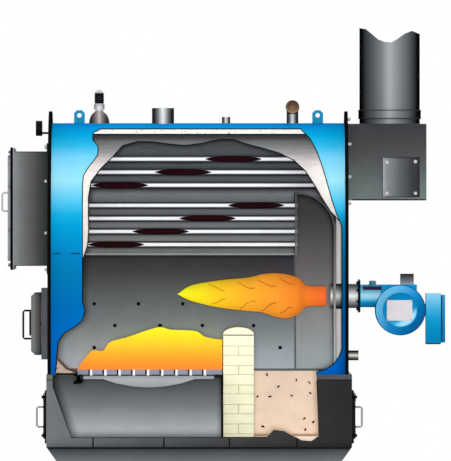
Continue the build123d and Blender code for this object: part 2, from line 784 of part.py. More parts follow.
def fire_door():
    z_mid = boiler_z + fire_opening_sill + fire_opening_height / 2
    half_w = fire_opening_width / 2 + fire_door_side_lap
    y_axis = half_w + hinge_stand_off
    frame_half = y_axis - pintle_r - knuckle_wall
    outer = Pos(0, z_mid) * Rectangle(2 * frame_half,
                                      fire_opening_height + 2 * fire_frame_rim)
    lined = fire_mouth_face(0)
    mouth = fire_mouth_face(fire_throat_wall)
    frame = end_prism(outer - mouth, front_x - fire_frame_depth, front_x)
    frame += end_prism(lined - mouth, front_x, furnace_front_x)
    save(frame, "fire_door_frame")
    height = fire_opening_height + 2 * fire_door_lap
    x_back = front_x - fire_frame_depth - door_gap
    x_face = x_back - fire_door_depth
    pan_face = Pos(0, z_mid) * RectangleRounded(2 * half_w, height, fire_door_edge_r)
    door = end_prism(pan_face, x_face, x_back)
    door = chamfer(door.faces().sort_by(Axis.X)[0].edges(), fire_door_bevel)
    wall = fire_door_wall
    x_floor = x_face + fire_door_skin
    cavity_face = Pos(0, z_mid) * Rectangle(2 * (half_w - wall), height - 2 * wall)
    door -= end_prism(cavity_face, x_floor, x_back + 1)
    x_axis = x_back - pintle_r - knuckle_wall
    pins = []
    bores = []
    for z in hinge_levels(z_mid, height, fire_hinge_inset):
        pins.append(pintle(x_axis, y_axis, front_x, z))
        eye, bore = knuckle(x_axis, y_axis, x_axis, -1, half_w - fire_strap_lap, z)
        door += eye
        bores.append(bore)
    for bore in bores:
        door -= bore
    fit = lining_gap
    lining = end_prism(Pos(0, z_mid) * Rectangle(2 * (half_w - wall - fit),
                                                 height - 2 * (wall + fit)),
                       x_floor + seat_gap, x_back)
    save(lining, "fire_door_lining")
    y_latch = -half_w + fire_latch_inset
    handle = grab_handle(x_face, -1, y_latch - handle_bar, z_mid - fire_handle_drop,
                         z_mid + fire_handle_rise, fire_handle_reach)
    latch = box_between((x_face - latch_t, x_face), (y_latch, y_latch + latch_width),
                        (z_mid - latch_length / 2, z_mid + latch_length / 2))
    save(door + handle + latch, "fire_door")
    return pins


def ash_door(name, x_end, out):
    """A plain hinged door on one end of the base; out is -1 at the front, +1 at the rear."""
    z_mid = skid_height + ash_opening_sill + ash_opening_height / 2
    lap = ash_door_lap
    half = ash_opening_width / 2 + lap
    height = ash_opening_height + 2 * lap
    x_back = x_end + out * door_gap
    x_face = x_back + out * ash_door_t
    x_panel = x_face + out * ash_door_panel_t
    door = end_prism(Pos(0, z_mid) * Rectangle(2 * half, height), *sorted((x_back, x_face)))
    inset = ash_door_panel_inset
    panel_face = Pos(0, z_mid) * Rectangle(2 * (half - inset), height - 2 * inset)
    door += end_prism(panel_face, *sorted((x_face, x_panel)))
    y_axis = half + hinge_stand_off
    x_axis = x_back + out * (pintle_r + knuckle_wall)
    pins = []
    bores = []
    for z in hinge_levels(z_mid, height, ash_hinge_inset):
        pins.append(pintle(x_axis, y_axis, x_end, z))
        eye, bore = knuckle(x_axis, y_axis, x_face, out, half - inset - weld_lap, z)
        door += eye
        bores.append(bore)
    for bore in bores:
        door -= bore
    handle = grab_handle(x_panel, out, -half + 2 * inset, z_mid - ash_handle_length / 2,
                         z_mid + ash_handle_length / 2, ash_handle_reach)
    save(door + handle, name + "_ash_door")
    return pins


# Base casing, skid and top frame
window_x = front_x + base_window_front
window_z = [skid_height + share * base_height for share in base_window_sills]
base_cut = make_face(Polyline(
    (window_rear_x, boiler_z + ring_height), (window_x, boiler_z + ring_height),
    (window_x, base_top_z - base_window_shoulder), (window_x + base_window_taper, window_z[0]),
    (window_rear_x - base_window_flat, window_z[1]),
    *eased([(window_rear_x - base_window_flat, window_z[1]),
            (window_rear_x - base_mound_x, window_z[2]),
            (window_rear_x - base_mound_foot, window_z[3]),
            (window_rear_x + base_window_lip, window_z[4])])[1:],
    (window_rear_x, boiler_z + ring_height)))
base_window = side_prism(base_cut, cut_near_y, cut_far_y)


def base():
    half = base_half_width
    z = (skid_height, base_top_z)
    near = box_between((base_front_x, base_rear_x), (-half, -half + base_t), z) - base_window
    far = box_between((base_front_x, base_rear_x), (half - base_t, half), z)
    save(Compound(children=[near, far]), "base_side_plates")
    ends_y = (-half + base_t, half - base_t)
    sill = skid_height + ash_opening_sill
    mouth_y = (-ash_opening_width / 2, ash_opening_width / 2)
    mouth_z = (sill, sill + ash_opening_height)
    front = box_between((base_front_x, base_front_x + base_t), ends_y, z)
    front -= box_between((base_front_x - 1, base_front_x + base_t + 1), mouth_y, mouth_z)
    rear = box_between((base_rear_x - base_t, base_rear_x), ends_y, z)
    rear -= box_between((base_rear_x - base_t - 1, base_rear_x + 1), mouth_y, mouth_z)
    save(Compound(children=[front, rear]), "base_end_plates")
    floor = box_between((base_front_x + base_t, base_rear_x - base_t), ends_y,
                        (skid_height, base_floor_z))
    save(floor, "base_floor")
    # Angle-section frame that carries the boiler on the casing
    x = (base_front_x, base_rear_x)
    inner = furnace_half_width
    plate = box_between(x, (-half, half), (boiler_z - frame_t, boiler_z))
    plate -= box_between((furnace_front_x + furnace_t, chamber_back_x - chamber_t),
                         (-inner, inner), (boiler_z - frame_t - 1, boiler_z + 1))
    skirt = box_between(x, (-half, half), (base_top_z, boiler_z - frame_t))
    skirt -= box_between((x[0] + frame_t, x[1] - frame_t), (-half + frame_t, half - frame_t),
                         (base_top_z - 1, boiler_z))
    save(plate + skirt - base_window, "base_top_frame")


def skid():
    half = base_half_width
    top = skid_height
    x_lo, x_hi = base_front_x, base_rear_x
    side = make_face(Polyline((x_lo, top), (x_hi, top), (x_hi - skid_bevel, 0),
                              (x_lo + skid_bevel, 0), (x_lo, top)))
    flange = skid_flange_t
    beams = []
    for sign in (-1, 1):
        y_out = sign * half
        y_in = sign * (half - skid_flange)
        beam = side_prism(side, *sorted((y_out, y_in)))
        pocket = box_between((x_lo - 1, x_hi + 1),
                             sorted((y_out - sign * skid_web_t, y_in - sign)),
                             (flange, top - flange))
        beams.append(beam - pocket)
    save(Compound(children=beams), "skid_side_beams")
    inner = half - skid_web_t - seat_gap
    crosses = []
    first = x_lo + skid_bevel + skid_cross_inset
    last = x_hi - skid_bevel - skid_cross_inset
    for i in range(skid_cross_count):
        x = first + (last - first) * i / (skid_cross_count - 1)
        crosses.append(box_between((x - skid_cross_t / 2, x + skid_cross_t / 2),
                                   (-inner, inner),
                                   (flange + seat_gap, top - flange - seat_gap)))
    save(Compound(children=crosses), "skid_cross_plates")


def grate():
    """Fish-belly grate bars laid side by side, slotted across their tables."""
    z_top = grate_top_z
    z_seat = grate_seat_z
    half_table = (grate_bar_pitch - grate_bar_gap) / 2
    x_lo = bars_x
    x_hi = bars_end_x
    web_lo = x_lo + bearer_lap + grate_web_inset
    web_hi = x_hi - angle_leg
    z_end = z_seat - grate_end_depth
    belly = [(web_lo, z_seat), (web_hi, z_seat), (web_hi, z_end)]
    for share, depth in grate_belly:
        belly.append((web_hi - share * (web_hi - web_lo), z_seat - depth * grate_belly_depth))
    belly += [(web_lo, z_end), (web_lo, z_seat)]
    table = box_between((x_lo, x_hi), (-half_table, half_table), (z_seat, z_top))
    bar = table + side_prism(make_face(Polyline(*belly)), -grate_web_t / 2, grate_web_t / 2)
    for i in range(grate_slot_count):
        x = x_lo + grate_first_slot + i * grate_slot_pitch
        bar -= box_between((x - grate_slot_width / 2, x + grate_slot_width / 2),
                           (-half_table - 1, half_table + 1), (z_seat, z_top + 1))
    first = -(grate_bar_count - 1) / 2 * grate_bar_pitch
    bars = [Pos(0, first + i * grate_bar_pitch, 0) * bar for i in range(grate_bar_count)]
    save(Compound(children=bars), "grate_bars")
    inside = base_half_width - frame_t - seat_gap
    narrow = furnace_half_width - seat_gap
    z = grate_seat_z
    z_under = boiler_z - frame_t - seat_gap
    x0 = x_lo + bearer_lap - bearer_width
    x_web = x0 + (bearer_width - bearer_web_t) / 2
    z_foot = z - bearer_height
    beam = box_between((x0, x0 + bearer_width), (-narrow, narrow), (z - bearer_flange_t, z))
    beam += box_between((x0, x0 + bearer_width), (-inside, inside),
                        (z_foot, z_foot + bearer_flange_t))
    beam += box_between((x_web, x_web + bearer_web_t), (-inside, inside), (z_foot, z_under))
    x1 = x_hi - angle_leg
    angle = box_between((x1, x_hi), (-narrow, narrow), (z - angle_t, z))
    angle += box_between((x_hi - angle_t, x_hi), (-narrow, narrow), (z - angle_leg, z))
    angle += box_between((x_hi - angle_t, x_hi), (-inside, inside), (z - angle_leg, z_under))
    save(Compound(children=[beam, angle]), "grate_bearers")
    dead_half = furnace_half_width - furnace_t - masonry_gap
    dead = box_between((furnace_front_x + furnace_t + masonry_gap, x_lo - masonry_gap),
                       (-dead_half, dead_half), (z, z + dead_plate_t))
    save(dead, "dead_plate")


def fuel_bed():
    """The heap of fuel on the grate, banked up towards the bridge wall."""
    half = furnace_half_width - furnace_t - masonry_gap
    z_lo = grate_top_z + seat_gap
    crest = [(bars_x + share * grate_length, z_lo + rise * fuel_height)
             for share, rise in fuel_crest]
    heap = make_face(Polyline((bars_x, z_lo), *crest, (bars_end_x, z_lo), (bars_x, z_lo)))
    save(side_prism(heap, -half, half), "fuel_bed")


def masonry():
    half = furnace_half_width - furnace_t - masonry_gap
    z_top = boiler_z + bridge_height
    mid = (bridge_x + bridge_end_x) / 2
    wall_face = make_face([
        Polyline((bridge_x, z_top), (bridge_x, base_floor_z), (bridge_end_x, base_floor_z),
                 (bridge_end_x, z_top)),
        ThreePointArc((bridge_end_x, z_top), (mid, z_top + bridge_crown_rise),
                      (bridge_x, z_top)),
    ])
    save(side_prism(wall_face, -half, half), "bridge_wall")
    x_end = chamber_back_x - chamber_t - masonry_gap
    z_top = boiler_z + hopper_rise
    tub = box_between((bridge_end_x + masonry_gap, x_end), (-half, half),
                      (base_floor_z, z_top))
    tub -= box_between((bridge_end_x, x_end - hopper_wall_t),
                       (-half + hopper_wall_t, half - hopper_wall_t),
                       (base_floor_z + hopper_floor_t, z_top + 1))
    tub -= side_prism(base_cut, -half - 1, -half + hopper_wall_t)
    toe_x = furnace_front_x + furnace_t
    toe_z = grate_seat_z + dead_plate_t
    toe_face = make_face(Polyline(
        (toe_x, toe_z + toe_height), (toe_x, toe_z), (toe_x + toe_length, toe_z),
        (toe_x + toe_length / 2, toe_z + toe_height * toe_hollow), (toe_x, toe_z + toe_height)))
    save(Compound(children=[tub, side_prism(toe_face, -half, half)]), "refractory_lining")


def plenum_plate():
    half = base_half_width - frame_t - seat_gap
    narrow = furnace_half_width - seat_gap
    x = (bars_end_x + seat_gap, bridge_x - seat_gap)
    plate = box_between(x, (-half, half), (base_floor_z, boiler_z - frame_t - seat_gap))
    plate += box_between(x, (-narrow, narrow), (base_floor_z, grate_seat_z))
    save(plate, "plenum_end_plate")


def lifting_lugs():
    lugs = []
    z_lo = shell_top_z
    z_hi = jacket_top_z + lug_height
    for x in (lug_front_x, lug_rear_x):
        x_mid = inner_front_x + x
        half = lug_width / 2
        chamfer_z = z_hi - lug_corner
        outline = make_face(Polyline(
            (x_mid - half, z_lo), (x_mid + half, z_lo), (x_mid + half, chamfer_z),
            (x_mid + half - lug_corner, z_hi), (x_mid - half + lug_corner, z_hi),
            (x_mid - half, chamfer_z), (x_mid - half, z_lo)))
        lug = side_prism(outline, -lug_t / 2, lug_t / 2)
        lug -= rod_y(-lug_t, lug_t, x_mid, jacket_top_z + lug_hole_height, lug_hole_r)
        lugs.append(lug)
    save(Compound(children=lugs), "lifting_lugs")


def stub(x, r, bore_r, rise):
    """An open pipe stub set through the crown of the shell."""
    z_lo = shell_top_z - stub_root
    z_hi = jacket_top_z + rise
    pipe = rod_z(z_lo, z_hi, inner_front_x + x, 0, r)
    return pipe - rod_z(z_lo - 1, z_hi + 1, inner_front_x + x, 0, bore_r)


def mitred_pipe(x, z_lo, z_axis, y_mouth, r):
    """A pipe that rises and turns towards the cut side at a mitre."""
    rise_face = make_face(Polyline((-r - 1, z_lo), (r + 1, z_lo), (r + 1, z_axis + r + 1),
                                   (-r - 1, z_axis - r - 1), (-r - 1, z_lo)))
    run_face = make_face(Polyline((r + 1, z_axis + r + 1), (y_mouth, z_axis + r + 1),
                                  (y_mouth, z_axis - r - 1), (-r - 1, z_axis - r - 1),
                                  (r + 1, z_axis + r + 1)))
    across = (x - r - 1, x + r + 1)
    rise = rod_z(z_lo, z_axis + 2 * r, x, 0, r) & end_prism(rise_face, *across)
    run = rod_y(y_mouth, 2 * r, x, z_axis, r) & end_prism(run_face, *across)
    return rise + run


def crown_outlets():
    nozzle = stub(nozzle_x, nozzle_r, nozzle_bore_r, nozzle_rise)
    coupling = stub(coupling_x, coupling_r, coupling_bore_r, coupling_rise)
    x = inner_front_x + elbow_x
    z_lo = shell_top_z - stub_root
    z_axis = jacket_top_z + elbow_rise
    y_mouth = -elbow_reach
    elbow = mitred_pipe(x, z_lo, z_axis, y_mouth, elbow_r)
    elbow += rod_y(y_mouth, y_mouth + elbow_bead_t, x, z_axis, elbow_bead_r)
    elbow -= mitred_pipe(x, z_lo - 1, z_axis, y_mouth - 1, elbow_bore_r)
    elbow -= rod_y(y_mouth - 1, y_mouth + elbow_socket_depth, x, z_axis, elbow_socket_r)
    return [nozzle, coupling, elbow]


def relief_valve():
    x = inner_front_x + valve_x
    outline = make_face(Polyline(*valve_profile, (0, valve_profile[-1][1]),
                                 (0, valve_profile[0][1]), valve_profile[0]))
    valve = Pos(x, 0, jacket_top_z) * revolve(Plane.XZ * outline, Axis.Z)
    valve += rod_z(shell_top_z - stub_root, jacket_top_z + 1, x, 0, valve_stem_r)
    valve += plan_prism(Pos(x, 0) * RegularPolygon(valve_nut_r, 6), jacket_top_z + dome_height,
                        jacket_top_z + dome_height + valve_nut_height)
    return valve + rod_y(-valve_outlet_reach, 0, x, jacket_top_z + valve_outlet_height,
                         valve_outlet_r)


def pressure_gauge():
    z = sheet_top_z - gauge_drop
    x_back = front_x - gauge_stem_length
    case = rod_x(x_back - gauge_depth, x_back, 0, z, gauge_r)
    case -= rod_x(x_back - gauge_depth - 1, x_back - gauge_depth + gauge_dial_sink, 0, z,
                  gauge_r - gauge_rim)
    return case + rod_x(x_back - gauge_lap, front_x, 0, z - gauge_stem_drop, gauge_stem_r)


def burner_tube():
    """The flanged tube that carries the burner through the rear water space."""
    z = boiler_z + burner_height
    x_in = chamber_back_x - burner_tube_nose
    x_neck = burner_neck_x - burner_flange_t
    tube = rod_x(x_in, x_neck, 0, z, burner_tube_r)
    tube += rod_x(x_neck, burner_neck_x, 0, z, burner_flange_r)
    return tube - rod_x(x_in - 1, burner_neck_x + 1, 0, z, burner_tube_r - burner_tube_t)


def burner():
    z = boiler_z + burner_height
    x_neck = burner_neck_x
    x_fan = x_neck + fan_offset
    z_fan = z - fan_drop
    scroll_face = Pos(x_fan, z_fan) * RegularPolygon(fan_r, fan_sides)
    housing = side_prism(scroll_face, -fan_half_width, fan_half_width)
    housing += rod_x(x_neck, x_fan, 0, z, burner_neck_r)
    housing -= rod_x(x_neck - 1, x_neck + burner_neck_bore, 0, z, burner_neck_bore_r)
    z_block = z + top_block_drop
    block_top = z_block + top_block_height
    housing += box_between((x_fan - top_block_front, x_fan + top_block_rear),
                           (-fan_half_width, fan_half_width), (z_block, block_top))
    cabinet_x = rear_x + cabinet_reach
    case_x = cabinet_x - cabinet_depth - cabinet_lid_t
    bracket = (-cabinet_bracket_half, cabinet_bracket_half)
    housing += box_between((x_fan, case_x), bracket,
                           (z_fan - cabinet_bracket_half, z_fan + cabinet_bracket_half))
    motor_face = Pos(x_fan, z_fan) * RegularPolygon(motor_r, fan_sides)
    motor = side_prism(motor_face, -fan_half_width - motor_depth, -fan_half_width)
    save(housing + motor, "fan_housing")
    relay = box_between((x_fan, x_fan + relay_box_length),
                        (-relay_box_length / 2, relay_box_length / 2),
                        (block_top, block_top + relay_box_height))
    save(relay, "relay_box")
    z_lo = z - cabinet_drop
    half = cabinet_half_width
    rim = cabinet_lid_rim
    case = box_between((case_x, cabinet_x - cabinet_lid_t), (-half, half),
                       (z_lo, z_lo + cabinet_height))
    lid = box_between((cabinet_x - cabinet_lid_t, cabinet_x), (-half + rim, half - rim),
                      (z_lo + rim, z_lo + cabinet_height - rim))
    save(case + lid, "control_cabinet")


def blowdown():
    z = boiler_z + blowdown_height
    x_hi = rear_x + blowdown_reach
    pipe = rod_x(inner_rear_x, x_hi, 0, z, blowdown_r)
    return pipe - rod_x(inner_rear_x - 1, x_hi + 1, 0, z, blowdown_bore_r)


os.makedirs("parts", exist_ok=True)
tube_sheets()
pass_tubes()
body_wrappers()
furnace()
chamber()
foundation_ring()
smokebox_pins = smokebox_front()
smokebox_rear()
fire_pins = fire_door()
front_ash_pins = ash_door("front", base_front_x, -1)
rear_ash_pins = ash_door("rear", base_rear_x, 1)
save(Compound(children=smokebox_pins + fire_pins + front_ash_pins + rear_ash_pins),
     "door_hinge_pins")
base()
skid()
grate()
fuel_bed()
masonry()
plenum_plate()
lifting_lugs()
fittings = crown_outlets() + [relief_valve(), pressure_gauge(), blowdown(), burner_tube()]
save(Compound(children=fittings), "boiler_fittings")
burner()
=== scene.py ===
import math
import random

import bmesh
import bpy
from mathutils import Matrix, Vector


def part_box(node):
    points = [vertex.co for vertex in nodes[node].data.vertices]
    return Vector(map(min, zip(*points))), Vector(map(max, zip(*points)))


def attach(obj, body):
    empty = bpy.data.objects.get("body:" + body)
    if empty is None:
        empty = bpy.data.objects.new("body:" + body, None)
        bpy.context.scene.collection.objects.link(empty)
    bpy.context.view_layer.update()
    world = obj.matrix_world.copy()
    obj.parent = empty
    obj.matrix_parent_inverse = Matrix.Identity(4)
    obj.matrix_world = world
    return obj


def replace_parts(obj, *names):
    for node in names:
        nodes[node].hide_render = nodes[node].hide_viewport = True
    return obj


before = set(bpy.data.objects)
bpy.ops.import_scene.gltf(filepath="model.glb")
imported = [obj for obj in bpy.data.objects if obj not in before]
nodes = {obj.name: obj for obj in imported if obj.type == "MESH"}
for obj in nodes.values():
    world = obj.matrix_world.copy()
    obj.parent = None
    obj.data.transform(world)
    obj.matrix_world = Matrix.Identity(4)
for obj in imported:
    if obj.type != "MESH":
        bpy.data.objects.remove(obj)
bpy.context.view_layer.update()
random.seed(41)

# Bodies that pieces ride on
PLANT = "plant"
SMOKEBOX_LEAF = "smokebox_door_leaf"

# Places and sizes that several pieces share, in metres
INNER_FRONT_X = -1.296
SHELL_CENTRE_Z = 1.797
UPPER_TUBE_Z, LOWER_TUBE_Z = 2.3625, 2.0135
TUBE_PITCH = 0.0985
TUBE_COLUMN = 0.130
NEAR_TUBE_Y = -0.390
TUBE_R, TUBE_WALL = 0.0254, 0.0032
BURNER_Z, BURNER_TUBE_R = 1.329, 0.092
FAN_X, FAN_Z = 1.338, 1.222
VALVE_X = -0.941
ELBOW_X, ELBOW_Z = 0.522, 2.758
STACK_X = 1.2575
GRATE_FRONT_X, GRATE_TOP_Z = -1.098, 0.7783

# Long openings in the near tubes: where each starts behind the inner front, top row first
UPPER_OPENINGS = (1.158, 0.779, 0.303)
LOWER_OPENINGS = (1.330, 0.963, 0.610, 0.273)
OPENING_LENGTH, OPENING_HALF = 0.425, 0.0225

# Directions seen from the part's middle
UP, TO_FRONT, TO_REAR, TO_NEAR = (0, 0, 1), (-1, 0, 0), (1, 0, 0), (0, -1, 0)

# Angle in degrees above which an edge of a rounded piece stays sharp
ROUND, TURNED = 60.0, 35.0


def place(name, data):
    obj = bpy.data.objects.new(name, data)
    bpy.context.scene.collection.objects.link(obj)
    return obj


# Camera, light and ground
def make_camera():
    view_height = 3.4575
    lens = 1000.0
    sensor = 36.0
    near_face_y = -0.93
    data = bpy.data.cameras.new("camera")
    data.lens = lens
    data.sensor_width = sensor
    data.clip_start = 1.0
    data.clip_end = 250.0
    camera = place("camera", data)
    camera.location = (0.015, near_face_y - view_height * lens / sensor, 1.824)
    camera.rotation_euler = (math.pi / 2, 0.0, 0.0)
    bpy.context.scene.camera = camera


def add_sun(name, direction, strength, angle):
    data = bpy.data.lights.new(name, "SUN")
    data.energy = strength
    data.angle = math.radians(angle)
    lamp = place(name, data)
    lamp.rotation_mode = "QUATERNION"
    lamp.rotation_quaternion = Vector(direction).to_track_quat("-Z", "Y")


def is_socket(value):
    return isinstance(value, bpy.types.NodeSocket)


def add_node(tree, kind, inputs=(), **settings):
    """A shader node; inputs gives fixed values, or sockets to link, for its own sockets."""
    node = tree.nodes.new("ShaderNode" + kind)
    for name, value in settings.items():
        setattr(node, name, value)
    for key, value in dict(inputs).items():
        if is_socket(value):
            tree.links.new(value, node.inputs[key])
        else:
            node.inputs[key].default_value = value
    return node


def empty_tree(owner):
    owner.use_nodes = True
    owner.node_tree.nodes.clear()
    return owner.node_tree


def seen_directly(tree):
    """1 for rays from the camera, a mirror or a glass, 0 for the light that falls on the part."""
    rays = add_node(tree, "LightPath").outputs
    total = rays["Is Camera Ray"]
    for name in ("Is Glossy Ray", "Is Transmission Ray"):
        total = add_node(tree, "Math", {0: total, 1: rays[name]},
                         operation="ADD", use_clamp=True).outputs[0]
    return total


def make_world():
    world = bpy.data.worlds.new("world")
    bpy.context.scene.world = world
    tree = empty_tree(world)
    light = add_node(tree, "Background", {"Color": (0.97, 0.98, 1.0, 1.0), "Strength": 0.38})
    shown = add_node(tree, "Background", {"Color": (1.0, 1.0, 1.0, 1.0), "Strength": 1.0})
    mix = add_node(tree, "MixShader",
                   {0: seen_directly(tree), 1: light.outputs[0], 2: shown.outputs[0]})
    add_node(tree, "OutputWorld", {0: mix.outputs[0]})


def make_floor():
    """Pale ground near the part, which fades to the backdrop's white further out."""
    half = 8.0
    mesh = bpy.data.meshes.new("floor")
    mesh.from_pydata([(-half, -half, 0), (half, -half, 0), (half, half, 0), (-half, half, 0)],
                     [], [(0, 1, 2, 3)])
    floor = place("floor", mesh)
    mat = bpy.data.materials.new("floor")
    tree = empty_tree(mat)
    ground = add_node(tree, "BsdfDiffuse", {"Color": (0.86, 0.86, 0.86, 1.0)})
    glow = add_node(tree, "Emission", {"Color": (1.0, 1.0, 1.0, 1.0)})
    spot = add_node(tree, "TexCoord").outputs["Object"]
    away = add_node(tree, "VectorMath", {0: spot}, operation="LENGTH").outputs["Value"]
    fade = add_node(tree, "MapRange", {"Value": away, "From Min": 2.5, "From Max": 6.0,
                                       "To Min": 0.45, "To Max": 1.0})
    share = add_node(tree, "Math", {0: fade.outputs[0], 1: seen_directly(tree)},
                     operation="MULTIPLY")
    mix = add_node(tree, "MixShader",
                   {0: share.outputs[0], 1: ground.outputs[0], 2: glow.outputs[0]})
    add_node(tree, "OutputMaterial", {0: mix.outputs[0]})
    mesh.materials.append(mat)


# Finishes
def linear(colour):
    """An 8-bit screen colour, or one number for a grey, as the values that a shader takes."""
    if isinstance(colour, int):
        colour = (colour,) * 3
    steps = [c / 255 for c in colour]
    return tuple(c / 12.92 if c <= 0.04045 else ((c + 0.055) / 1.055) ** 2.4
                 for c in steps) + (1.0,)


# Bare steel with painted shading, by the share of the radius off a bar's middle line: a painted
# highlight down the middle, painted shade out to the flanks
SHADED_STEEL_ROUND = {
    0.0: (226, 226, 220), 0.25: (172, 172, 168), 0.45: (110, 110, 107), 0.62: (76, 76, 74),
    0.76: (26, 26, 25), 1.0: 6}
SHADED_STEEL_BROAD = {
    0.0: (252, 252, 250), 0.45: (170, 171, 172), 0.65: (128, 130, 133), 0.87: (90, 91, 93),
    1.0: (26, 26, 27)}

# The part's materials by name, as their finishes are made
FINISHES = {}


class Finish:
    """A material on the part, built up from ramps along the part's own axes, noise and bump."""

    def __init__(self, name, rough=0.5, specular=0.03):
        self.name = name
        self.mat = bpy.data.materials.new(name)
        self.mat.use_nodes = True
        self.tree = self.mat.node_tree
        self.bsdf = self.tree.nodes["Principled BSDF"]
        self.bsdf.inputs["Roughness"].default_value = rough
        self.bsdf.inputs["Specular IOR Level"].default_value = specular
        self.coord = self.node("TexCoord").outputs["Object"]
        self.x, self.y, self.z = self.node("SeparateXYZ", {0: self.coord}).outputs

    def node(self, kind, inputs=(), **settings):
        return add_node(self.tree, kind, inputs, **settings)

    def math(self, operation, *values):
        return self.node("Math", dict(enumerate(values)), operation=operation).outputs[0]

    def plus(self, a, b):
        return self.math("ADD", a, b)

    def less(self, a, b):
        return self.math("SUBTRACT", a, b)

    def times(self, a, b):
        return self.math("MULTIPLY", a, b)

    def radius(self, a, a_mid, b, b_mid):
        """Distance from the line at a_mid and b_mid, across it."""
        da, db = self.less(a, a_mid), self.less(b, b_mid)
        return self.math("SQRT", self.plus(self.times(da, da), self.times(db, db)))

    def across(self, value, mid, r, stops):
        """Colour by the share of the radius r that a point lies off a bar's middle line."""
        off = self.math("ABSOLUTE", self.less(value, mid))
        return self.ramp(self.math("DIVIDE", off, r), stops)

    def ramp(self, value, stops):
        """Colour by a value; stops give the screen colour at each value, in rising order."""
        lo, hi = min(stops), max(stops)
        share = self.node("MapRange", {"Value": value, "From Min": lo, "From Max": hi})
        node = self.node("ValToRGB", {0: share.outputs[0]})
        bands = node.color_ramp.elements
        for i, (at, colour) in enumerate(stops.items()):
            along = (at - lo) / (hi - lo)
            if i < 2:
                stop = bands[i]
                stop.position = along
            else:
                stop = bands.new(along)
            stop.color = linear(colour)
        return node.outputs[0]

    def above(self, value, edge, width=0.001):
        """0 below the edge and 1 above it."""
        return self.node("MapRange", {"Value": value, "From Min": edge - width / 2,
                                      "From Max": edge + width / 2}).outputs[0]

    def below(self, value, edge, width=0.001):
        return self.less(1.0, self.above(value, edge, width))

    def within(self, value, lo, hi, width=0.001):
        return self.times(self.above(value, lo, width), self.below(value, hi, width))

    def mix(self, share, a, b, blend="MIX"):
        """Colour b over colour a; each is a socket or a fixed screen colour."""
        a, b = (c if is_socket(c) else linear(c) for c in (a, b))
        return self.node("Mix", {0: share, 6: a, 7: b},
                         data_type="RGBA", blend_type=blend).outputs[2]

    def tint(self, a, b):
        return self.mix(1.0, a, b, "MULTIPLY")

    def noise(self, scale, detail=4.0, stretch=None):
        at = self.coord
        if stretch:
            at = self.node("Mapping", {0: at, "Scale": stretch}).outputs[0]
        return self.node("TexNoise", {"Vector": at, "Scale": scale, "Detail": detail}).outputs[0]

    def worn(self, colour, amount, scale=9.0, stretch=None):
        """The colour, darker by up to the amount in soft patches."""
        patches = self.ramp(self.noise(scale, 4.0, stretch),
                            {0.3: int(255 * (1 - amount)), 0.7: 255})
        return self.tint(colour, patches)

    def specks(self, colour, speck, scale, size):
        """The colour with small grains of another in it."""
        cells = self.node("TexVoronoi", {"Vector": self.coord, "Scale": scale})
        grains = self.above(cells.outputs["Distance"], size, size * 0.3)
        return self.mix(grains, speck, colour)

    def done(self, colour, grain=0.0, relief=0.0, detail=4.0, depth=0.001, stretch=None):
        """Gives the material its colour, and its relief where there is a grain."""
        self.tree.links.new(colour, self.bsdf.inputs["Base Color"])
        if grain:
            bump = self.node("Bump", {"Strength": relief, "Distance": depth,
                                      "Height": self.noise(grain, detail, stretch)})
            self.tree.links.new(bump.outputs[0], self.bsdf.inputs["Normal"])
        FINISHES[self.name] = self.mat


def makes(name, **settings):
    """Runs the function below on a new finish of this name."""
    return lambda paint: paint(Finish(name, **settings))


# Relief of a surface: grain, strength, detail and depth
FINE, BRUSHED, WALL = (60.0, 0.12), (18.0, 0.12, 5.0), (22.0, 0.2, 6.0, 0.002)


def graded(name, axis, stops, rough=0.5, wear=0.05, patch=9.0, relief=FINE):
    """A painted or bare surface whose colour runs along one axis of the part."""
    f = Finish(name, rough)
    f.done(f.worn(f.ramp(getattr(f, axis), stops), wear, patch), *relief)


def even(name, colour, rough=0.5, wear=0.12, relief=(60.0, 0.15), specular=0.03):
    """A surface of one colour with a little wear."""
    f = Finish(name, rough, specular)
    f.done(f.worn(colour, wear), *relief)


def glowing(name, axis, stops, strength=0.5):
    """Burning fuel or gas: its own light, running from one colour to the next."""
    f = Finish(name, rough=0.9, specular=0.0)
    colour = f.worn(f.ramp(getattr(f, axis), stops), 0.03)
    f.tree.links.new(colour, f.bsdf.inputs["Emission Color"])
    f.bsdf.inputs["Emission Strength"].default_value = strength
    f.done(f.tint(colour, 200))


@makes("jacket_blue", rough=0.55, specular=0.0)
def jacket_finish(f):
    """Satin blue with a painted highlight band along its shoulder."""
    # A painted highlight band round the shoulder, deeper blue towards the bottom
    colour = f.ramp(f.z, {
        0.743: (0, 94, 186), 0.92: (0, 97, 184), 1.23: (2, 100, 170), 1.50: (4, 113, 166),
        1.63: (4, 123, 180), 1.74: (4, 137, 195), 1.86: (4, 153, 206), 1.95: (24, 168, 215),
        2.04: (80, 192, 232), 2.20: (152, 224, 243), 2.37: (118, 208, 243), 2.46: (48, 186, 232),
        2.54: (4, 168, 222), 2.60: (8, 146, 214), 2.637: (8, 132, 206)})
    # Painted shade: the lower rear strip a shade darker
    rear = f.times(f.above(f.x, 0.87, 0.05), f.below(f.z, 1.93, 0.15))
    colour = f.mix(rear, colour, f.tint(colour, 214))
    dust = f.ramp(f.noise(3.5, 3.0, (1.0, 1.0, 0.35)), {0.35: (245, 247, 249), 0.65: 255})
    f.done(f.tint(colour, dust), 26.0, 0.06, detail=3.0)


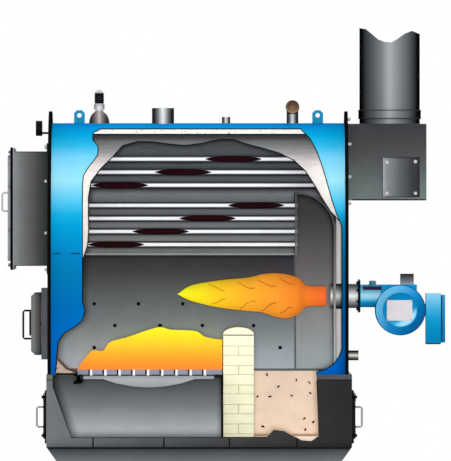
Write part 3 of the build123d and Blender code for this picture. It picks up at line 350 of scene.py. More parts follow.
@makes("shell_steel", rough=0.55)
def shell_finish(f):
    """The pressure shell: scaled plate with painted highlight and shade outside, painted bands
    inside.
    """
    # Outside: painted shade over the top, a painted highlight down the sides, darker again towards
    # the bottom
    outside = f.ramp(f.z, {
        0.74: (150, 154, 157), 1.2: (184, 182, 180), 1.6: (208, 202, 197), 2.05: (232, 226, 220),
        2.26: (238, 232, 229), 2.34: (212, 205, 204), 2.41: (156, 152, 154), 2.47: (118, 122, 122),
        2.52: (108, 108, 109), 2.59: (100, 98, 100)})
    leg = f.times(f.above(f.x, 0.70, 0.06), f.below(f.z, 1.98, 0.25))
    outside = f.mix(leg, outside, (196, 191, 190))
    # Inside: bands by height, with painted light and shade between the tube rows and above the
    # furnace crown
    inside = f.ramp(f.z, {
        0.74: (120, 123, 126), 1.63: (112, 116, 119), 1.67: (162, 166, 168), 1.71: (122, 126, 130),
        1.97: (122, 126, 131), 2.05: (130, 136, 140), 2.10: (150, 152, 157), 2.15: (108, 112, 115),
        2.36: (86, 90, 92), 2.42: (130, 134, 141), 2.48: (132, 136, 141), 2.55: (118, 122, 126)})
    arch_z = f.math("MAXIMUM", f.z, SHELL_CENTRE_Z)
    outer = f.above(f.radius(f.y, 0.0, arch_z, SHELL_CENTRE_Z), 0.7845, 0.004)
    scale = f.ramp(f.noise(30.0, 5.0, (0.3, 1.0, 1.0)), {0.3: 236, 0.7: 255})
    f.done(f.tint(f.mix(outer, inside, outside), scale), 40.0, 0.1)


@makes("lagging_wool", rough=0.95, specular=0.1)
def lagging_finish(f):
    colour = f.specks(f.worn((255, 253, 248), 0.04, 20.0), (96, 84, 76), 26.0, 0.17)
    f.done(colour, 120.0, 0.5, detail=6.0, depth=0.003)


@makes("tube_steel")
def tube_finish(f):
    """Fire tubes: a painted highlight on the nearest row's near face, painted shade on the rest."""
    # Tubes behind the near row: painted shade, darker towards the top
    behind = f.ramp(f.z, {
        1.69: (130, 134, 137), 1.87: (124, 128, 131), 1.96: (108, 110, 113), 2.04: (106, 110, 112),
        2.15: (100, 104, 107), 2.21: (94, 99, 102), 2.30: (82, 88, 91), 2.39: (80, 84, 87)})
    upper = f.above(f.z, 2.09, 0.01)
    top = f.plus(LOWER_TUBE_Z, f.times(upper, UPPER_TUBE_Z - LOWER_TUBE_Z))
    rows = f.math("DIVIDE", f.less(top, f.z), TUBE_PITCH)
    off = f.math("ABSOLUTE", f.less(rows, f.math("ROUND", rows)))
    # Near face of the near row: a painted highlight along each tube's middle, painted shade at its
    # upper and lower edges
    face = f.ramp(f.times(off, TUBE_PITCH), {
        0.0: (240, 241, 244), 0.0090: (232, 233, 237), 0.0135: (112, 114, 118),
        0.0190: (52, 54, 57), TUBE_R: (46, 48, 51)})
    colour = f.mix(f.below(f.y, -0.37, 0.01), behind, face)
    f.done(f.worn(colour, 0.04, 12.0, (0.3, 1.0, 1.0)), 30.0, 0.08, detail=3.0,
           depth=0.0006, stretch=(0.2, 1.0, 1.0))


@makes("furnace_plate", rough=0.65)
def furnace_finish(f):
    """Furnace plate: painted shade, dark under the crown and paler towards the grate."""
    inside = f.ramp(f.z, {
        0.74: (192, 206, 218), 0.90: (168, 184, 194), 1.0: (148, 164, 170), 1.15: (125, 136, 146),
        1.30: (105, 114, 121), 1.41: (88, 94, 97), 1.54: (70, 69, 76), 1.637: (58, 62, 70)})
    # Above the crown's edge a paler grey, a painted highlight along it
    colour = f.mix(f.above(f.z, 1.6372), inside, (150, 154, 157))
    f.done(f.worn(colour, 0.05, 6.0), *WALL)


@makes("casing_side", rough=0.55)
def casing_finish(f):
    """Base casing: dark paint with its seams outside, bare plate inside that pales downwards."""
    # Outside: darker towards the rear, as painted shade
    outside = f.ramp(f.x, {
        -1.32: (106, 108, 110), -1.07: (98, 101, 104), -0.78: (85, 88, 92), -0.40: (73, 77, 80),
        0.12: (58, 58, 60), 0.57: (47, 46, 48), 0.90: (37, 37, 39)})
    # Painted shade along the casing's foot, above the skid
    outside = f.tint(outside, f.ramp(f.z, {
        0.20: (196, 198, 200), 0.235: (240, 241, 242), 0.29: 255, 0.70: (240, 241, 242)}))
    half_seam, seam = 0.006, 0.0
    for x in (-0.9785, -0.4475, 0.0445, 0.5515):
        line = f.within(f.x, x - half_seam, x + half_seam, 0.002)
        seam = f.math("MAXIMUM", seam, line)
    outside = f.mix(f.times(seam, f.below(f.z, 0.268)), outside, (10, 10, 11))
    # Inside: painted shade under the grate, the bare plate darker upwards
    inside = f.ramp(f.z, {
        0.21: (228, 232, 236), 0.33: (206, 211, 214), 0.48: (152, 157, 160), 0.60: (116, 121, 124),
        0.687: (88, 95, 95)})
    inner = f.within(f.y, -0.9255, 0.9255, 0.002)
    f.done(f.worn(f.mix(inner, outside, inside), 0.05, 5.0), *BRUSHED)


@makes("fitting_steel", rough=0.45)
def fittings_finish(f):
    """The boiler's fittings: turned steel, the valve's black spring case, a copper elbow mouth."""
    # Round parts: a painted highlight down the middle and painted shade at the flanks
    colour = f.across(f.z, BURNER_Z, BURNER_TUBE_R, SHADED_STEEL_BROAD)
    for x, r in ((-0.458, 0.084), (0.019, 0.0315), (ELBOW_X, 0.0445)):
        stub = f.times(f.within(f.x, x - 0.1, x + 0.1), f.above(f.z, 2.6))
        colour = f.mix(stub, colour, f.across(f.x, x, r, SHADED_STEEL_ROUND))
    drain = f.times(f.above(f.x, 0.8), f.below(f.z, 1.0))
    colour = f.mix(drain, colour, f.across(f.z, 0.879, 0.038, SHADED_STEEL_ROUND))
    # The valve by height: warm grey bell, a pale stem, the black spring case, and a painted
    # highlight on the cap's top
    valve = f.ramp(f.z, {
        2.63: (150, 134, 128), 2.70: (186, 170, 162), 2.735: (220, 212, 208), 2.745: 230,
        2.778: 200, 2.79: (14, 14, 15), 2.86: (14, 14, 15), 2.872: (180, 184, 184),
        2.89: (190, 194, 194)})
    # Painted highlight down the valve's middle and painted shade to its sides, below the spring
    # case
    turned = f.across(f.x, VALVE_X, 0.075, {
        0.0: 255, 0.2: 225, 0.45: 150, 0.8: 90, 1.0: 60})
    valve = f.mix(f.below(f.z, 2.78), valve, f.tint(valve, turned))
    colour = f.mix(f.within(f.x, -1.05, -0.85), colour, valve)
    mouth = f.times(f.within(f.x, 0.46, 0.59), f.above(f.z, 2.706))
    copper = f.ramp(f.z, {2.70: (184, 150, 120), 2.74: (160, 126, 98), 2.80: (92, 66, 46)})
    colour = f.mix(mouth, colour, copper)
    rim = f.above(f.radius(f.x, ELBOW_X, f.z, ELBOW_Z), 0.0455, 0.004)
    colour = f.mix(f.times(mouth, rim), colour, (46, 28, 18))
    colour = f.mix(f.below(f.x, -1.366), colour, (14, 14, 15))
    flange = f.times(f.above(f.x, 1.0165), f.above(f.z, 1.19))
    f.done(f.mix(flange, colour, (10, 22, 30)), 50.0, 0.08)


@makes("burner_tube_steel", rough=0.45)
def burner_steel_finish(f):
    # A painted highlight along the tube's middle, painted shade at its upper and lower flanks
    f.done(f.across(f.z, BURNER_Z, BURNER_TUBE_R, SHADED_STEEL_BROAD), 50.0, 0.08)


@makes("valve_cast")
def bell_finish(f):
    """Cast bell: a warm grey painted highlight down its middle, painted shade to black at its
    sides.
    """
    colour = f.across(f.x, VALVE_X, 0.0770, {
        0.0: (188, 178, 172), 0.22: (140, 130, 124), 0.50: (86, 80, 77), 0.78: (44, 41, 40),
        1.0: 8})
    f.done(f.worn(colour, 0.06, 20.0), 70.0, 0.15)


@makes("burner_blue", specular=0.01)
def burner_finish(f):
    """Burner blue: painted highlights on the neck and the fan's rim, a deeper motor cover."""
    # Neck: a painted highlight along its upper side
    neck = f.ramp(f.z, {
        1.24: (0, 110, 170), 1.285: (20, 160, 214), 1.315: (150, 222, 244), 1.335: (184, 218, 232),
        1.355: (118, 202, 232), 1.39: (90, 192, 228), 1.416: (24, 150, 206)})
    x, z = f.less(f.x, FAN_X), f.less(f.z, FAN_Z)
    # Fan rim: painted light at the upper left, painted shade at the lower right
    rim = f.ramp(f.plus(x, f.times(z, -0.8)), {
        -0.22: (112, 200, 240), -0.12: (88, 184, 234), 0.02: (24, 142, 206), 0.14: (0, 112, 172),
        0.24: (0, 92, 152)})
    fan_r = 0.1905
    out = f.radius(f.x, FAN_X, f.z, FAN_Z)
    colour = f.mix(f.below(out, fan_r), neck, rim)
    block = f.times(f.above(f.x, 1.190), f.times(f.above(f.z, 1.352), f.above(out, fan_r)))
    colour = f.mix(block, colour, (14, 140, 204))
    # Motor cover: paler at the bottom, painted shade towards the top, and a painted highlight
    # crescent at the lower right
    face = f.ramp(f.z, {1.092: (48, 166, 212), 1.18: (8, 136, 192), 1.352: (0, 122, 174)})
    lower_right = f.less(f.times(x, 0.75), z)
    painted_highlight = f.times(f.above(lower_right, 0.088, 0.05), f.below(out, 0.119, 0.012))
    cover = f.times(f.below(f.y, -0.1215), f.below(out, 0.1305))
    colour = f.mix(cover, colour, f.mix(painted_highlight, face, (164, 222, 245)))
    edge = f.times(f.within(out, 0.1255, 0.1345, 0.003), f.below(f.y, -0.119))
    colour = f.mix(f.times(edge, linear(150)[0]), colour, (0, 74, 128))
    f.done(f.worn(colour, 0.04), 40.0, 0.05, detail=3.0)


@makes("cabinet_blue", specular=0.01)
def cabinet_finish(f):
    """Cabinet blue that pales upwards, with a deeper lid, a dark joint and a dark underside."""
    # Pales upwards, as painted light
    colour = f.ramp(f.z, {
        0.964: (0, 118, 168), 1.08: (0, 134, 184), 1.16: (14, 146, 196), 1.22: (52, 158, 204),
        1.31: (112, 186, 222), 1.35: (140, 198, 220)})
    lid_x = 1.654
    lid = f.ramp(f.z, {0.964: (0, 96, 150), 1.20: (24, 124, 176), 1.35: (60, 144, 186)})
    colour = f.mix(f.above(f.x, lid_x), colour, lid)
    colour = f.mix(f.within(f.x, 1.6425, lid_x), colour, (10, 60, 100))
    colour = f.mix(f.below(f.z, 0.972), colour, (6, 30, 48))
    f.done(f.worn(colour, 0.04), 40.0, 0.05, detail=3.0)


@makes("ash_door_paint")
def ash_door_finish(f):
    """Black leaf with a bare bar handle standing off it."""
    handle = f.math("MAXIMUM", f.below(f.x, -1.3655), f.above(f.x, 1.0005))
    colour = f.mix(handle, (13, 14, 15), (150, 152, 153))
    f.done(f.worn(colour, 0.08), *FINE)


@makes("frame_paint", rough=0.55)
def frame_finish(f):
    """Angle frame: grey paint, a black lower edge and the pale ledge at the grate's front."""
    # Darker towards the rear, as painted shade
    colour = f.ramp(f.x, {
        -1.33: (100, 102, 95), -0.4: (82, 84, 82), 0.3: (70, 72, 71), 0.964: (72, 76, 78)})
    colour = f.mix(f.below(f.z, 0.7065), colour, (10, 10, 11))
    ledge = f.times(f.within(f.x, -1.272, -1.05), f.below(f.z, 0.728))
    colour = f.mix(ledge, colour, (96, 100, 102))
    f.done(f.worn(colour, 0.06, 5.0), *BRUSHED)


@makes("fire_brick", rough=0.9, specular=0.15)
def brick_finish(f):
    colour = f.specks(f.worn((247, 244, 210), 0.04, 14.0), (232, 214, 172), 90.0, 0.10)
    f.done(colour, 90.0, 0.35, detail=6.0, depth=0.002)


@makes("refractory_cast", rough=0.92, specular=0.15)
def refractory_finish(f):
    """Cast refractory: plain in the hopper, flecked in the toe at the front of the grate."""
    flecked = f.specks((196, 176, 162), (150, 96, 84), 30.0, 0.22)
    flecked = f.specks(flecked, (120, 120, 128), 46.0, 0.2)
    toe = f.below(f.x, -1.0, 0.01)
    colour = f.mix(toe, f.worn((250, 232, 214), 0.04, 8.0), flecked)
    f.done(colour, 60.0, 0.4, detail=6.0, depth=0.003)


@makes("cover_paint")
def cover_finish(f):
    """The smokebox door's cover plate, with its handle a shade darker."""
    colour = f.mix(f.below(f.x, -1.6275), (150, 153, 156), (170, 172, 175))
    f.done(f.worn(colour, 0.08), *FINE)


@makes("stack_steel", rough=0.45, specular=0.0)
def stack_finish(f):
    """Stack plate: a painted highlight down its middle, painted shade down its flanks."""
    colour = f.ramp(f.x, {
        1.030: 2, 1.052: (14, 15, 15), 1.084: (56, 58, 60), 1.137: (81, 84, 87),
        1.190: (111, 115, 119), 1.252: (158, 163, 164), 1.310: (126, 130, 134),
        1.355: (103, 106, 110), 1.418: (67, 70, 72), 1.461: (14, 15, 15), 1.486: 2})
    upright = (1.0, 1.0, 0.1)
    f.done(f.worn(colour, 0.04, 9.0, upright), 30.0, 0.06, stretch=upright)


# Turnaround chamber plate: painted shade, dark at the top and paler towards the bottom
graded("chamber_plate", "z", {
    0.77: (175, 190, 198), 0.96: (166, 176, 182), 1.15: (154, 160, 161), 1.41: (130, 133, 133),
    1.6: (112, 111, 114), 1.75: (96, 97, 100), 1.9: (79, 79, 81),
    2.11: (65, 67, 68)}, 0.65, patch=6.0, relief=WALL)
# Skid beams: paler at the foot, darker upwards as painted shade under the top flange, black along
# the top
graded("skid_paint", "z", {
    0.0: (112, 116, 119), 0.095: (100, 104, 107), 0.13: (83, 87, 90), 0.16: (70, 74, 77),
    0.183: (50, 52, 55), 0.187: (16, 16, 17),
    0.20: (16, 16, 17)}, 0.6, wear=0.06, patch=5.0, relief=BRUSHED)
even("tube_soot", (44, 12, 20), 0.85)
even("mortar", (214, 200, 158), 0.95, relief=(120.0, 0.4))
even("black_enamel", (13, 14, 15), specular=0.0)
even("black_edge", (12, 14, 20), 0.7)
even("bead_grey", (50, 53, 55), 0.6, specular=0.0)
even("black_casing", (44, 46, 48), 0.55)
even("grey_paint", (116, 121, 124), 0.55)
even("floor_plate", (190, 194, 198), 0.6)
even("bright_nut", (196, 192, 190), 0.4, wear=0.06)
even("dull_nut", (128, 130, 132), 0.4)
even("lug_blue", (0, 140, 180), 0.4, wear=0.05)
even("door_frame", (86, 90, 94), 0.55)
even("edge_blue", (0, 66, 120))
even("bare_plate", (210, 206, 210), 0.4, wear=0.04)
# Painted light: pale paint for the light that shows through the grate's air slots
even("slot_light_paint", (238, 243, 252), 0.45, wear=0.04)
even("dark_strip", (62, 20, 58))
even("switch_grey", (84, 132, 146), 0.4)
graded("cast_iron", "z", {
    0.64: (158, 160, 162), 0.70: (186, 188, 190), 0.7275: (170, 174, 182), 0.7305: (44, 46, 50),
    0.7375: (44, 46, 50), 0.7405: (134, 140, 156),
    0.778: (150, 156, 174)}, 0.65, relief=(60.0, 0.3))
# Front smokebox: pale at the front, darkening towards the rear as painted shade
graded("smokebox_paint", "x", {
    -1.584: (146, 146, 149), -1.565: (134, 136, 138), -1.535: (114, 118, 118),
    -1.49: (101, 99, 100), -1.436: (84, 82, 83), -1.39: (64, 64, 65), -1.355: (51, 54, 54),
    -1.33: (40, 43, 43)})
# Rear uptake: darker upwards, as painted shade
graded("uptake_paint", "z", {
    2.055: (106, 118, 116), 2.20: (92, 101, 100), 2.28: (84, 91, 90), 2.38: (75, 75, 77),
    2.50: (62, 62, 64), 2.63: (53, 55, 58)})
# Cleanout hatch: pale at its front edge, darkening towards the rear as painted shade
graded("hatch_paint", "x", {
    1.197: (160, 164, 167), 1.234: (125, 130, 133), 1.324: (87, 91, 93), 1.414: (54, 56, 59),
    1.478: (36, 38, 40)}, 0.45)
# Fire door: a black front rim, then grey that darkens to its rear edge as painted shade
graded("door_iron", "x", {
    -1.52: (16, 16, 17), -1.4545: (16, 16, 17), -1.453: (104, 105, 106), -1.42: (98, 100, 101),
    -1.381: (40, 42, 44)})
# Relay box: painted shading, pale at the bottom and near black at the top
graded("relay_case", "z", {
    1.415: (160, 166, 172), 1.445: (106, 116, 122), 1.475: (66, 64, 64), 1.497: (26, 25, 25)})
graded("leg_baffle", "x", {
    0.846: (150, 150, 152), 0.858: (196, 191, 190), 0.872: (200, 196, 195),
    0.8895: (140, 142, 146)})
glowing("burning_fuel", "z", {
    0.778: (255, 134, 46), 0.82: (255, 146, 46), 0.90: (254, 172, 48), 0.98: (252, 204, 44),
    1.05: (248, 226, 40), 1.10: (248, 238, 46)})
glowing("burning_gas", "x", {
    -0.35: (250, 255, 40), -0.20: (250, 232, 36), -0.02: (253, 204, 42), 0.20: (253, 176, 48),
    0.42: (252, 156, 50), 0.62: (252, 132, 44), 0.78: (250, 108, 50)})
glowing("flame_fold", "x", {
    -0.25: (226, 182, 20), 0.05: (222, 142, 34), 0.55: (220, 102, 30)}, 0.2)

# The CAD nodes that wear each finish
FINISH_NODES = {
    "jacket_blue": "jacket", "shell_steel": "pressure_shell", "lagging_wool": "lagging",
    "tube_steel": "second_pass_tubes third_pass_tubes",
    "furnace_plate": "furnace_wrapper furnace_front_sheet",
    "chamber_plate": "turnaround_chamber chamber_tube_sheet",
    "black_enamel": "front_tube_sheet rear_tube_sheet grate_bearers dead_plate plenum_end_plate "
                    "smokebox_door",
    "black_casing": "base_end_plates skid_cross_plates door_hinge_pins",
    "grey_paint": "foundation_ring", "casing_side": "base_side_plates", "floor_plate": "base_floor",
    "frame_paint": "base_top_frame", "skid_paint": "skid_side_beams", "cast_iron": "grate_bars",
    "fire_brick": "bridge_wall", "refractory_cast": "refractory_lining fire_door_lining",
    "burning_fuel": "fuel_bed", "smokebox_paint": "front_smokebox",
    "cover_paint": "smokebox_door_cover", "door_iron": "fire_door", "door_frame": "fire_door_frame",
    "ash_door_paint": "front_ash_door rear_ash_door", "uptake_paint": "rear_smokebox",
    "hatch_paint": "cleanout_plate", "stack_steel": "stack", "fitting_steel": "boiler_fittings",
    "lug_blue": "lifting_lugs", "burner_blue": "fan_housing", "relay_case": "relay_box",
    "cabinet_blue": "control_cabinet",
}


def dress_nodes():
    for finish, names in FINISH_NODES.items():
        for name in names.split():
            materials = nodes[name].data.materials
            materials.clear()
            materials.append(FINISHES[finish])


# Mesh building
def circle(r, count):
    """Points round a circle, as pairs of distances from its centre."""
    turns = (2 * math.pi * i / count for i in range(count))
    return [(r * math.cos(t), r * math.sin(t)) for t in turns]


class Solid:
    """Collects the faces of one piece, which may be several small bodies."""

    def __init__(self):
        self.bm = bmesh.new()

    def skin(self, rings):
        """Skins a list of closed point rings, each with the same number of points."""
        rows = [[self.bm.verts.new(p) for p in ring] for ring in rings]
        count = len(rows[0])
        for a, b in zip(rows, rows[1:]):
            for i in range(count):
                j = (i + 1) % count
                self.bm.faces.new((a[i], a[j], b[j], b[i]))
        self.bm.faces.new(list(reversed(rows[0])))
        self.bm.faces.new(rows[-1])

    def block(self, lo, hi, bevel):
        """A box with its edges taken off."""
        made = bmesh.ops.create_cube(self.bm, size=1.0)["verts"]
        centre = [(a + b) / 2 for a, b in zip(lo, hi)]
        size = [b - a for a, b in zip(lo, hi)]
        for v in made:
            v.co = Vector([c + s * p for c, s, p in zip(centre, size, v.co)])
        edges = {e for v in made for e in v.link_edges}
        bmesh.ops.bevel(self.bm, geom=list(edges), offset=bevel, segments=1,
                        affect="EDGES", clamp_overlap=True)

    def lathe(self, origin, axis, profile, sides):
        """Turns (radius, height) pairs about an axis and closes both ends."""
        along = Vector(axis).normalized()
        u = along.orthogonal().normalized()
        v = along.cross(u)
        self.skin([[Vector(origin) + along * h + (u * c + v * s) * r
                    for c, s in circle(1.0, sides)] for r, h in profile])

    def bolt(self, origin, axis, r, h):
        """A hexagon head of radius r on a washer, with its top h above the surface."""
        washer, chamfer = 0.002, 0.0015
        self.lathe(origin, axis, [(1.45 * r, 0.0), (1.45 * r, chamfer), (1.3 * r, washer)], 16)
        self.lathe(origin, axis, [(r, chamfer), (r, h - chamfer), (r * 0.84, h)], 6)

    def bolts(self, x, side, ys, zs, r, h):
        """Bolts at each y and z on a sheet at x, with their heads out along X on that side."""
        for y in ys:
            for z in zs:
                self.bolt((x, y, z), (side, 0, 0), r, h)

    def bar(self, points, r, closed=False):
        """A thin six-sided bar along a line of points."""
        pts = [Vector(p) for p in points]
        if closed:
            pts = pts + pts[:1]
        rings = []
        side = None
        last = len(pts) - 1
        for i, p in enumerate(pts):
            a = pts[i - 1] if i else (pts[-2] if closed else p)
            b = pts[i + 1] if i < last else (pts[1] if closed else p)
            t = (b - a).normalized()
            side = t.orthogonal().normalized() if side is None else (
                side - t * side.dot(t)).normalized()
            up = t.cross(side)
            rings.append([p + (side * c + up * s) * r for c, s in circle(1.0, 6)])
        self.skin(rings)

    def prism(self, outline, y_lo, y_hi):
        """An outline in X and Z carried along Y."""
        self.skin([[(x, y, z) for x, z in outline] for y in (y_lo, y_hi)])

    def piece(self, name, finish, body=PLANT, smooth=None, inner=None):
        """Makes the object; smooth is the angle above which its edges stay sharp."""
        bmesh.ops.recalc_face_normals(self.bm, faces=self.bm.faces)
        mesh = bpy.data.meshes.new(name)
        self.bm.to_mesh(mesh)
        self.bm.free()
        obj = place(name, mesh)
        mesh.materials.append(FINISHES[finish])
        if inner:
            mesh.materials.append(FINISHES[inner])
        if smooth:
            mesh.shade_smooth()
            mesh.set_sharp_from_angle(angle=math.radians(smooth))
        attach(obj, body)
        return obj


def make_blocks(name, finish, bevel, boxes):
    """A piece of bevelled boxes, each given by its lowest and highest corners."""
    solid = Solid()
    for lo, hi in boxes:
        solid.block(lo, hi, bevel)
    solid.piece(name, finish)


def make_turned(name, finish, profile, sides, axis, origins, smooth=None):
    """A piece of turned bodies of one profile, one at each origin."""
    solid = Solid()
    for origin in origins:
        solid.lathe(origin, axis, profile, sides)
    solid.piece(name, finish, smooth=smooth)


def make_bars(name, finish, r, lines, closed=False):
    """A piece of thin bars, one along each line of points."""
    solid = Solid()
    for line in lines:
        solid.bar(line, r, closed)
    solid.piece(name, finish, smooth=ROUND)


def smooth_line(points, steps=6):
    """A rounded line through the points."""
    out = []
    pts = [points[0]] + list(points) + [points[-1]]
    for a, b, c, d in zip(pts, pts[1:], pts[2:], pts[3:]):
        for i in range(steps):
            t = i / steps
            out.append(tuple(
                0.5 * (2 * b[k] + (c[k] - a[k]) * t
                       + (2 * a[k] - 5 * b[k] + 4 * c[k] - d[k]) * t * t
                       + (3 * b[k] - a[k] - 3 * c[k] + d[k]) * t ** 3) for k in (0, 1)))
    out.append(points[-1])
    return out


# Fire tubes, round, with the near row opened along its length
def opening_half(along):
    """Half the height of a near tube's opening, by the place along it from its middle."""
    return OPENING_HALF * (1 - abs(2 * along / OPENING_LENGTH) ** 2.7)


def tube_ring(x, y, z, r, half_open, count):
    """A ring at x; angle 0 faces the cut side and the ring leaves half_open either side of it."""
    ring = []
    for i in range(count + 1):
        t = half_open + (2 * math.pi - 2 * half_open) * i / count
        ring.append(Vector((x, y - r * math.cos(t), z + r * math.sin(t))))
    return ring


def add_tube(solid, y, z, x_lo, x_hi, opening=None):
    """A round tube with its bore; opening is the X where its long opening starts."""
    count, steps = 24, 28
    stations = [(x_lo, 0.0)]
    if opening is not None:
        for i in range(steps + 1):
            along = -OPENING_LENGTH / 2 + OPENING_LENGTH * i / steps
            stations.append((opening + OPENING_LENGTH / 2 + along,
                             math.asin(max(opening_half(along), 0.0) / TUBE_R)))
    stations.append((x_hi, 0.0))
    bm = solid.bm
    outer, inner = ([[bm.verts.new(p) for p in tube_ring(x, y, z, r, a, count)]
                     for x, a in stations] for r in (TUBE_R, TUBE_R - TUBE_WALL))
    for k in range(len(stations) - 1):
        for i in range(count):
            bm.faces.new((outer[k][i], outer[k][i + 1], outer[k + 1][i + 1], outer[k + 1][i]))
            bm.faces.new((inner[k][i], inner[k + 1][i],
                          inner[k + 1][i + 1], inner[k][i + 1])).material_index = 1
        if stations[k][1] > 0 or stations[k + 1][1] > 0:
            for i in (0, count):
                bm.faces.new((outer[k][i], outer[k + 1][i],
                              inner[k + 1][i], inner[k][i])).material_index = 1
    for k in (0, -1):
        for i in range(count):
            bm.faces.new((outer[k][i], inner[k][i], inner[k][i + 1], outer[k][i + 1]))


def make_tubes(name, node, top_z, openings):
    """Staggered columns of tubes; only the nearest column has the openings."""
    lo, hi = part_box(node)
    rows = len(openings)
    solid = Solid()
    for column in range(4):
        y = NEAR_TUBE_Y + 2 * TUBE_COLUMN * column
        for row in range(rows):
            start = INNER_FRONT_X + openings[row] if column == 0 else None
            add_tube(solid, y, top_z - row * TUBE_PITCH, lo.x, hi.x, start)
    for column in range(3):
        y = NEAR_TUBE_Y + 2 * TUBE_COLUMN * (column + 0.5)
        for row in range(rows - 1):
            add_tube(solid, y, top_z - (row + 0.5) * TUBE_PITCH, lo.x, hi.x)
    bmesh.ops.remove_doubles(solid.bm, verts=solid.bm.verts, dist=1e-6)
    tubes = solid.piece(name, "tube_steel", smooth=40.0, inner="tube_soot")
    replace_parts(tubes, node)


def make_opening_lips():
    """A rolled black lip round each long opening in the near tubes."""
    steps = 24
    rings = []
    for top_z, openings in ((UPPER_TUBE_Z, UPPER_OPENINGS), (LOWER_TUBE_Z, LOWER_OPENINGS)):
        for row, start in enumerate(openings):
            z = top_z - row * TUBE_PITCH
            ring = []
            for sign in (1, -1):
                for i in range(steps):
                    along = (-OPENING_LENGTH / 2 + OPENING_LENGTH * i / steps) * sign
                    h = opening_half(along) * sign
                    y = NEAR_TUBE_Y - math.sqrt(TUBE_R ** 2 - h ** 2)
                    ring.append((INNER_FRONT_X + start + OPENING_LENGTH / 2 + along, y, z + h))
            rings.append(ring)
    make_bars("tube_opening_lips", "black_edge", 0.003, rings, closed=True)


# Dark lips along the edges of the cut plates
def cut_lines(node, wanted):
    """Lines of points where the cut's wall meets the node's near skin."""
    bm = bmesh.new()
    bm.from_mesh(nodes[node].data)
    bmesh.ops.remove_doubles(bm, verts=bm.verts, dist=2e-5)
    bm.verts.index_update()
    bm.verts.ensure_lookup_table()
    links = {}
    for edge in bm.edges:
        if len(edge.link_faces) != 2:
            continue
        wall, skin = sorted((f.normal for f in edge.link_faces), key=lambda n: abs(n.y))
        mid = (edge.verts[0].co + edge.verts[1].co) / 2
        if abs(wall.y) < 0.03 and skin.y < -0.1 and wanted(mid, wall):
            a, b = (v.index for v in edge.verts)
            links.setdefault(a, []).append(b)
            links.setdefault(b, []).append(a)
    places = [v.co.copy() for v in bm.verts]
    bm.free()
    lines = []
    left = dict(links)
    while left:
        ends = [i for i in left if len(links[i]) == 1]
        at = min(ends) if ends else min(left)
        walk = []
        while at is not None:
            walk.append(at)
            left.pop(at)
            at = next((i for i in links[at] if i in left), None)
        if len(walk) > 1:
            lines.append([places[i] for i in walk])
    return lines


def make_cut_lip(name, node, wanted, r, shift_y=0.0):
    shift = Vector((0.0, shift_y, 0.0))
    make_bars(name, "black_edge", r,
              [[p + shift for p in line] for line in cut_lines(node, wanted)])


def make_cut_lips():
    make_cut_lip("jacket_cut_lip", "jacket",
                 lambda p, n: p.y < -0.2 and 0.75 < p.z < 2.61 and -1.29 < p.x < 0.91, 0.0036)
    make_cut_lip("shell_cut_lip", "pressure_shell",
                 lambda p, n: p.y < -0.2 and 0.78 < p.z < 2.575 and -1.29 < p.x < 0.905, 0.0036)
    make_cut_lip("lagging_cut_lip", "lagging",
                 lambda p, n: p.y < -0.2 and 2.53 < p.z < 2.59 and n.z < -0.3, 0.0034)
    make_cut_lip("casing_cut_lip", "base_side_plates",
                 lambda p, n: p.y < -0.92 and 0.21 < p.z < 0.69 and -1.31 < p.x < 0.95,
                 0.005, shift_y=0.005)


# Bridge wall
def jointed(lo, hi, count, joint):
    """The lengths from lo to hi in equal shares, with joints between them."""
    width = (hi - lo) / count
    return [(lo + width * i + (joint / 2 if i else 0.0),
             lo + width * (i + 1) - (joint / 2 if i < count - 1 else 0.0)) for i in range(count)]


def make_bridge():
    """Brick courses, headers and stretchers in turn, a domed coping and the mortar behind."""
    lo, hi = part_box("bridge_wall")
    course_tops = (0.2975, 0.371, 0.4475, 0.5173, 0.5983, 0.6635, 0.7423, 0.8098, 0.887,
                   0.9575, 1.037)
    joint, edge, most_nudge = 0.005, 0.0022, 0.0012
    bricks = Solid()
    z = lo.z
    for n, top in enumerate(course_tops):
        long, across = (1, 12) if n % 2 == 0 else (2, 6)
        for i, (y0, y1) in enumerate(jointed(lo.y, hi.y, across, joint)):
            for x0, x1 in jointed(lo.x, hi.x, long, joint):
                nudge = random.uniform(0.0, most_nudge)
                bricks.block((x0 + nudge, y0 + (0 if i else nudge), z),
                             (x1 - nudge, y1, top - joint), edge)
        z = top
    mid, half, rise = (lo.x + hi.x) / 2, (hi.x - lo.x) / 2, hi.z - z
    steps = 14
    coping = [(mid - half * math.cos(math.pi * i / steps),
               z + max(0.004, rise * math.sin(math.pi * i / steps) ** 0.9))
              for i in range(steps + 1)]
    for y0, y1 in jointed(lo.y, hi.y, 6, joint):
        bricks.prism(coping, y0, y1)
    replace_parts(bricks.piece("bridge_bricks", "fire_brick"), "bridge_wall")
    inset, bevel = 0.003, 0.002
    make_blocks("bridge_mortar", "mortar", bevel, [
        ((lo.x + inset, lo.y + inset, lo.z), (hi.x - inset, hi.y - inset, z - bevel))])


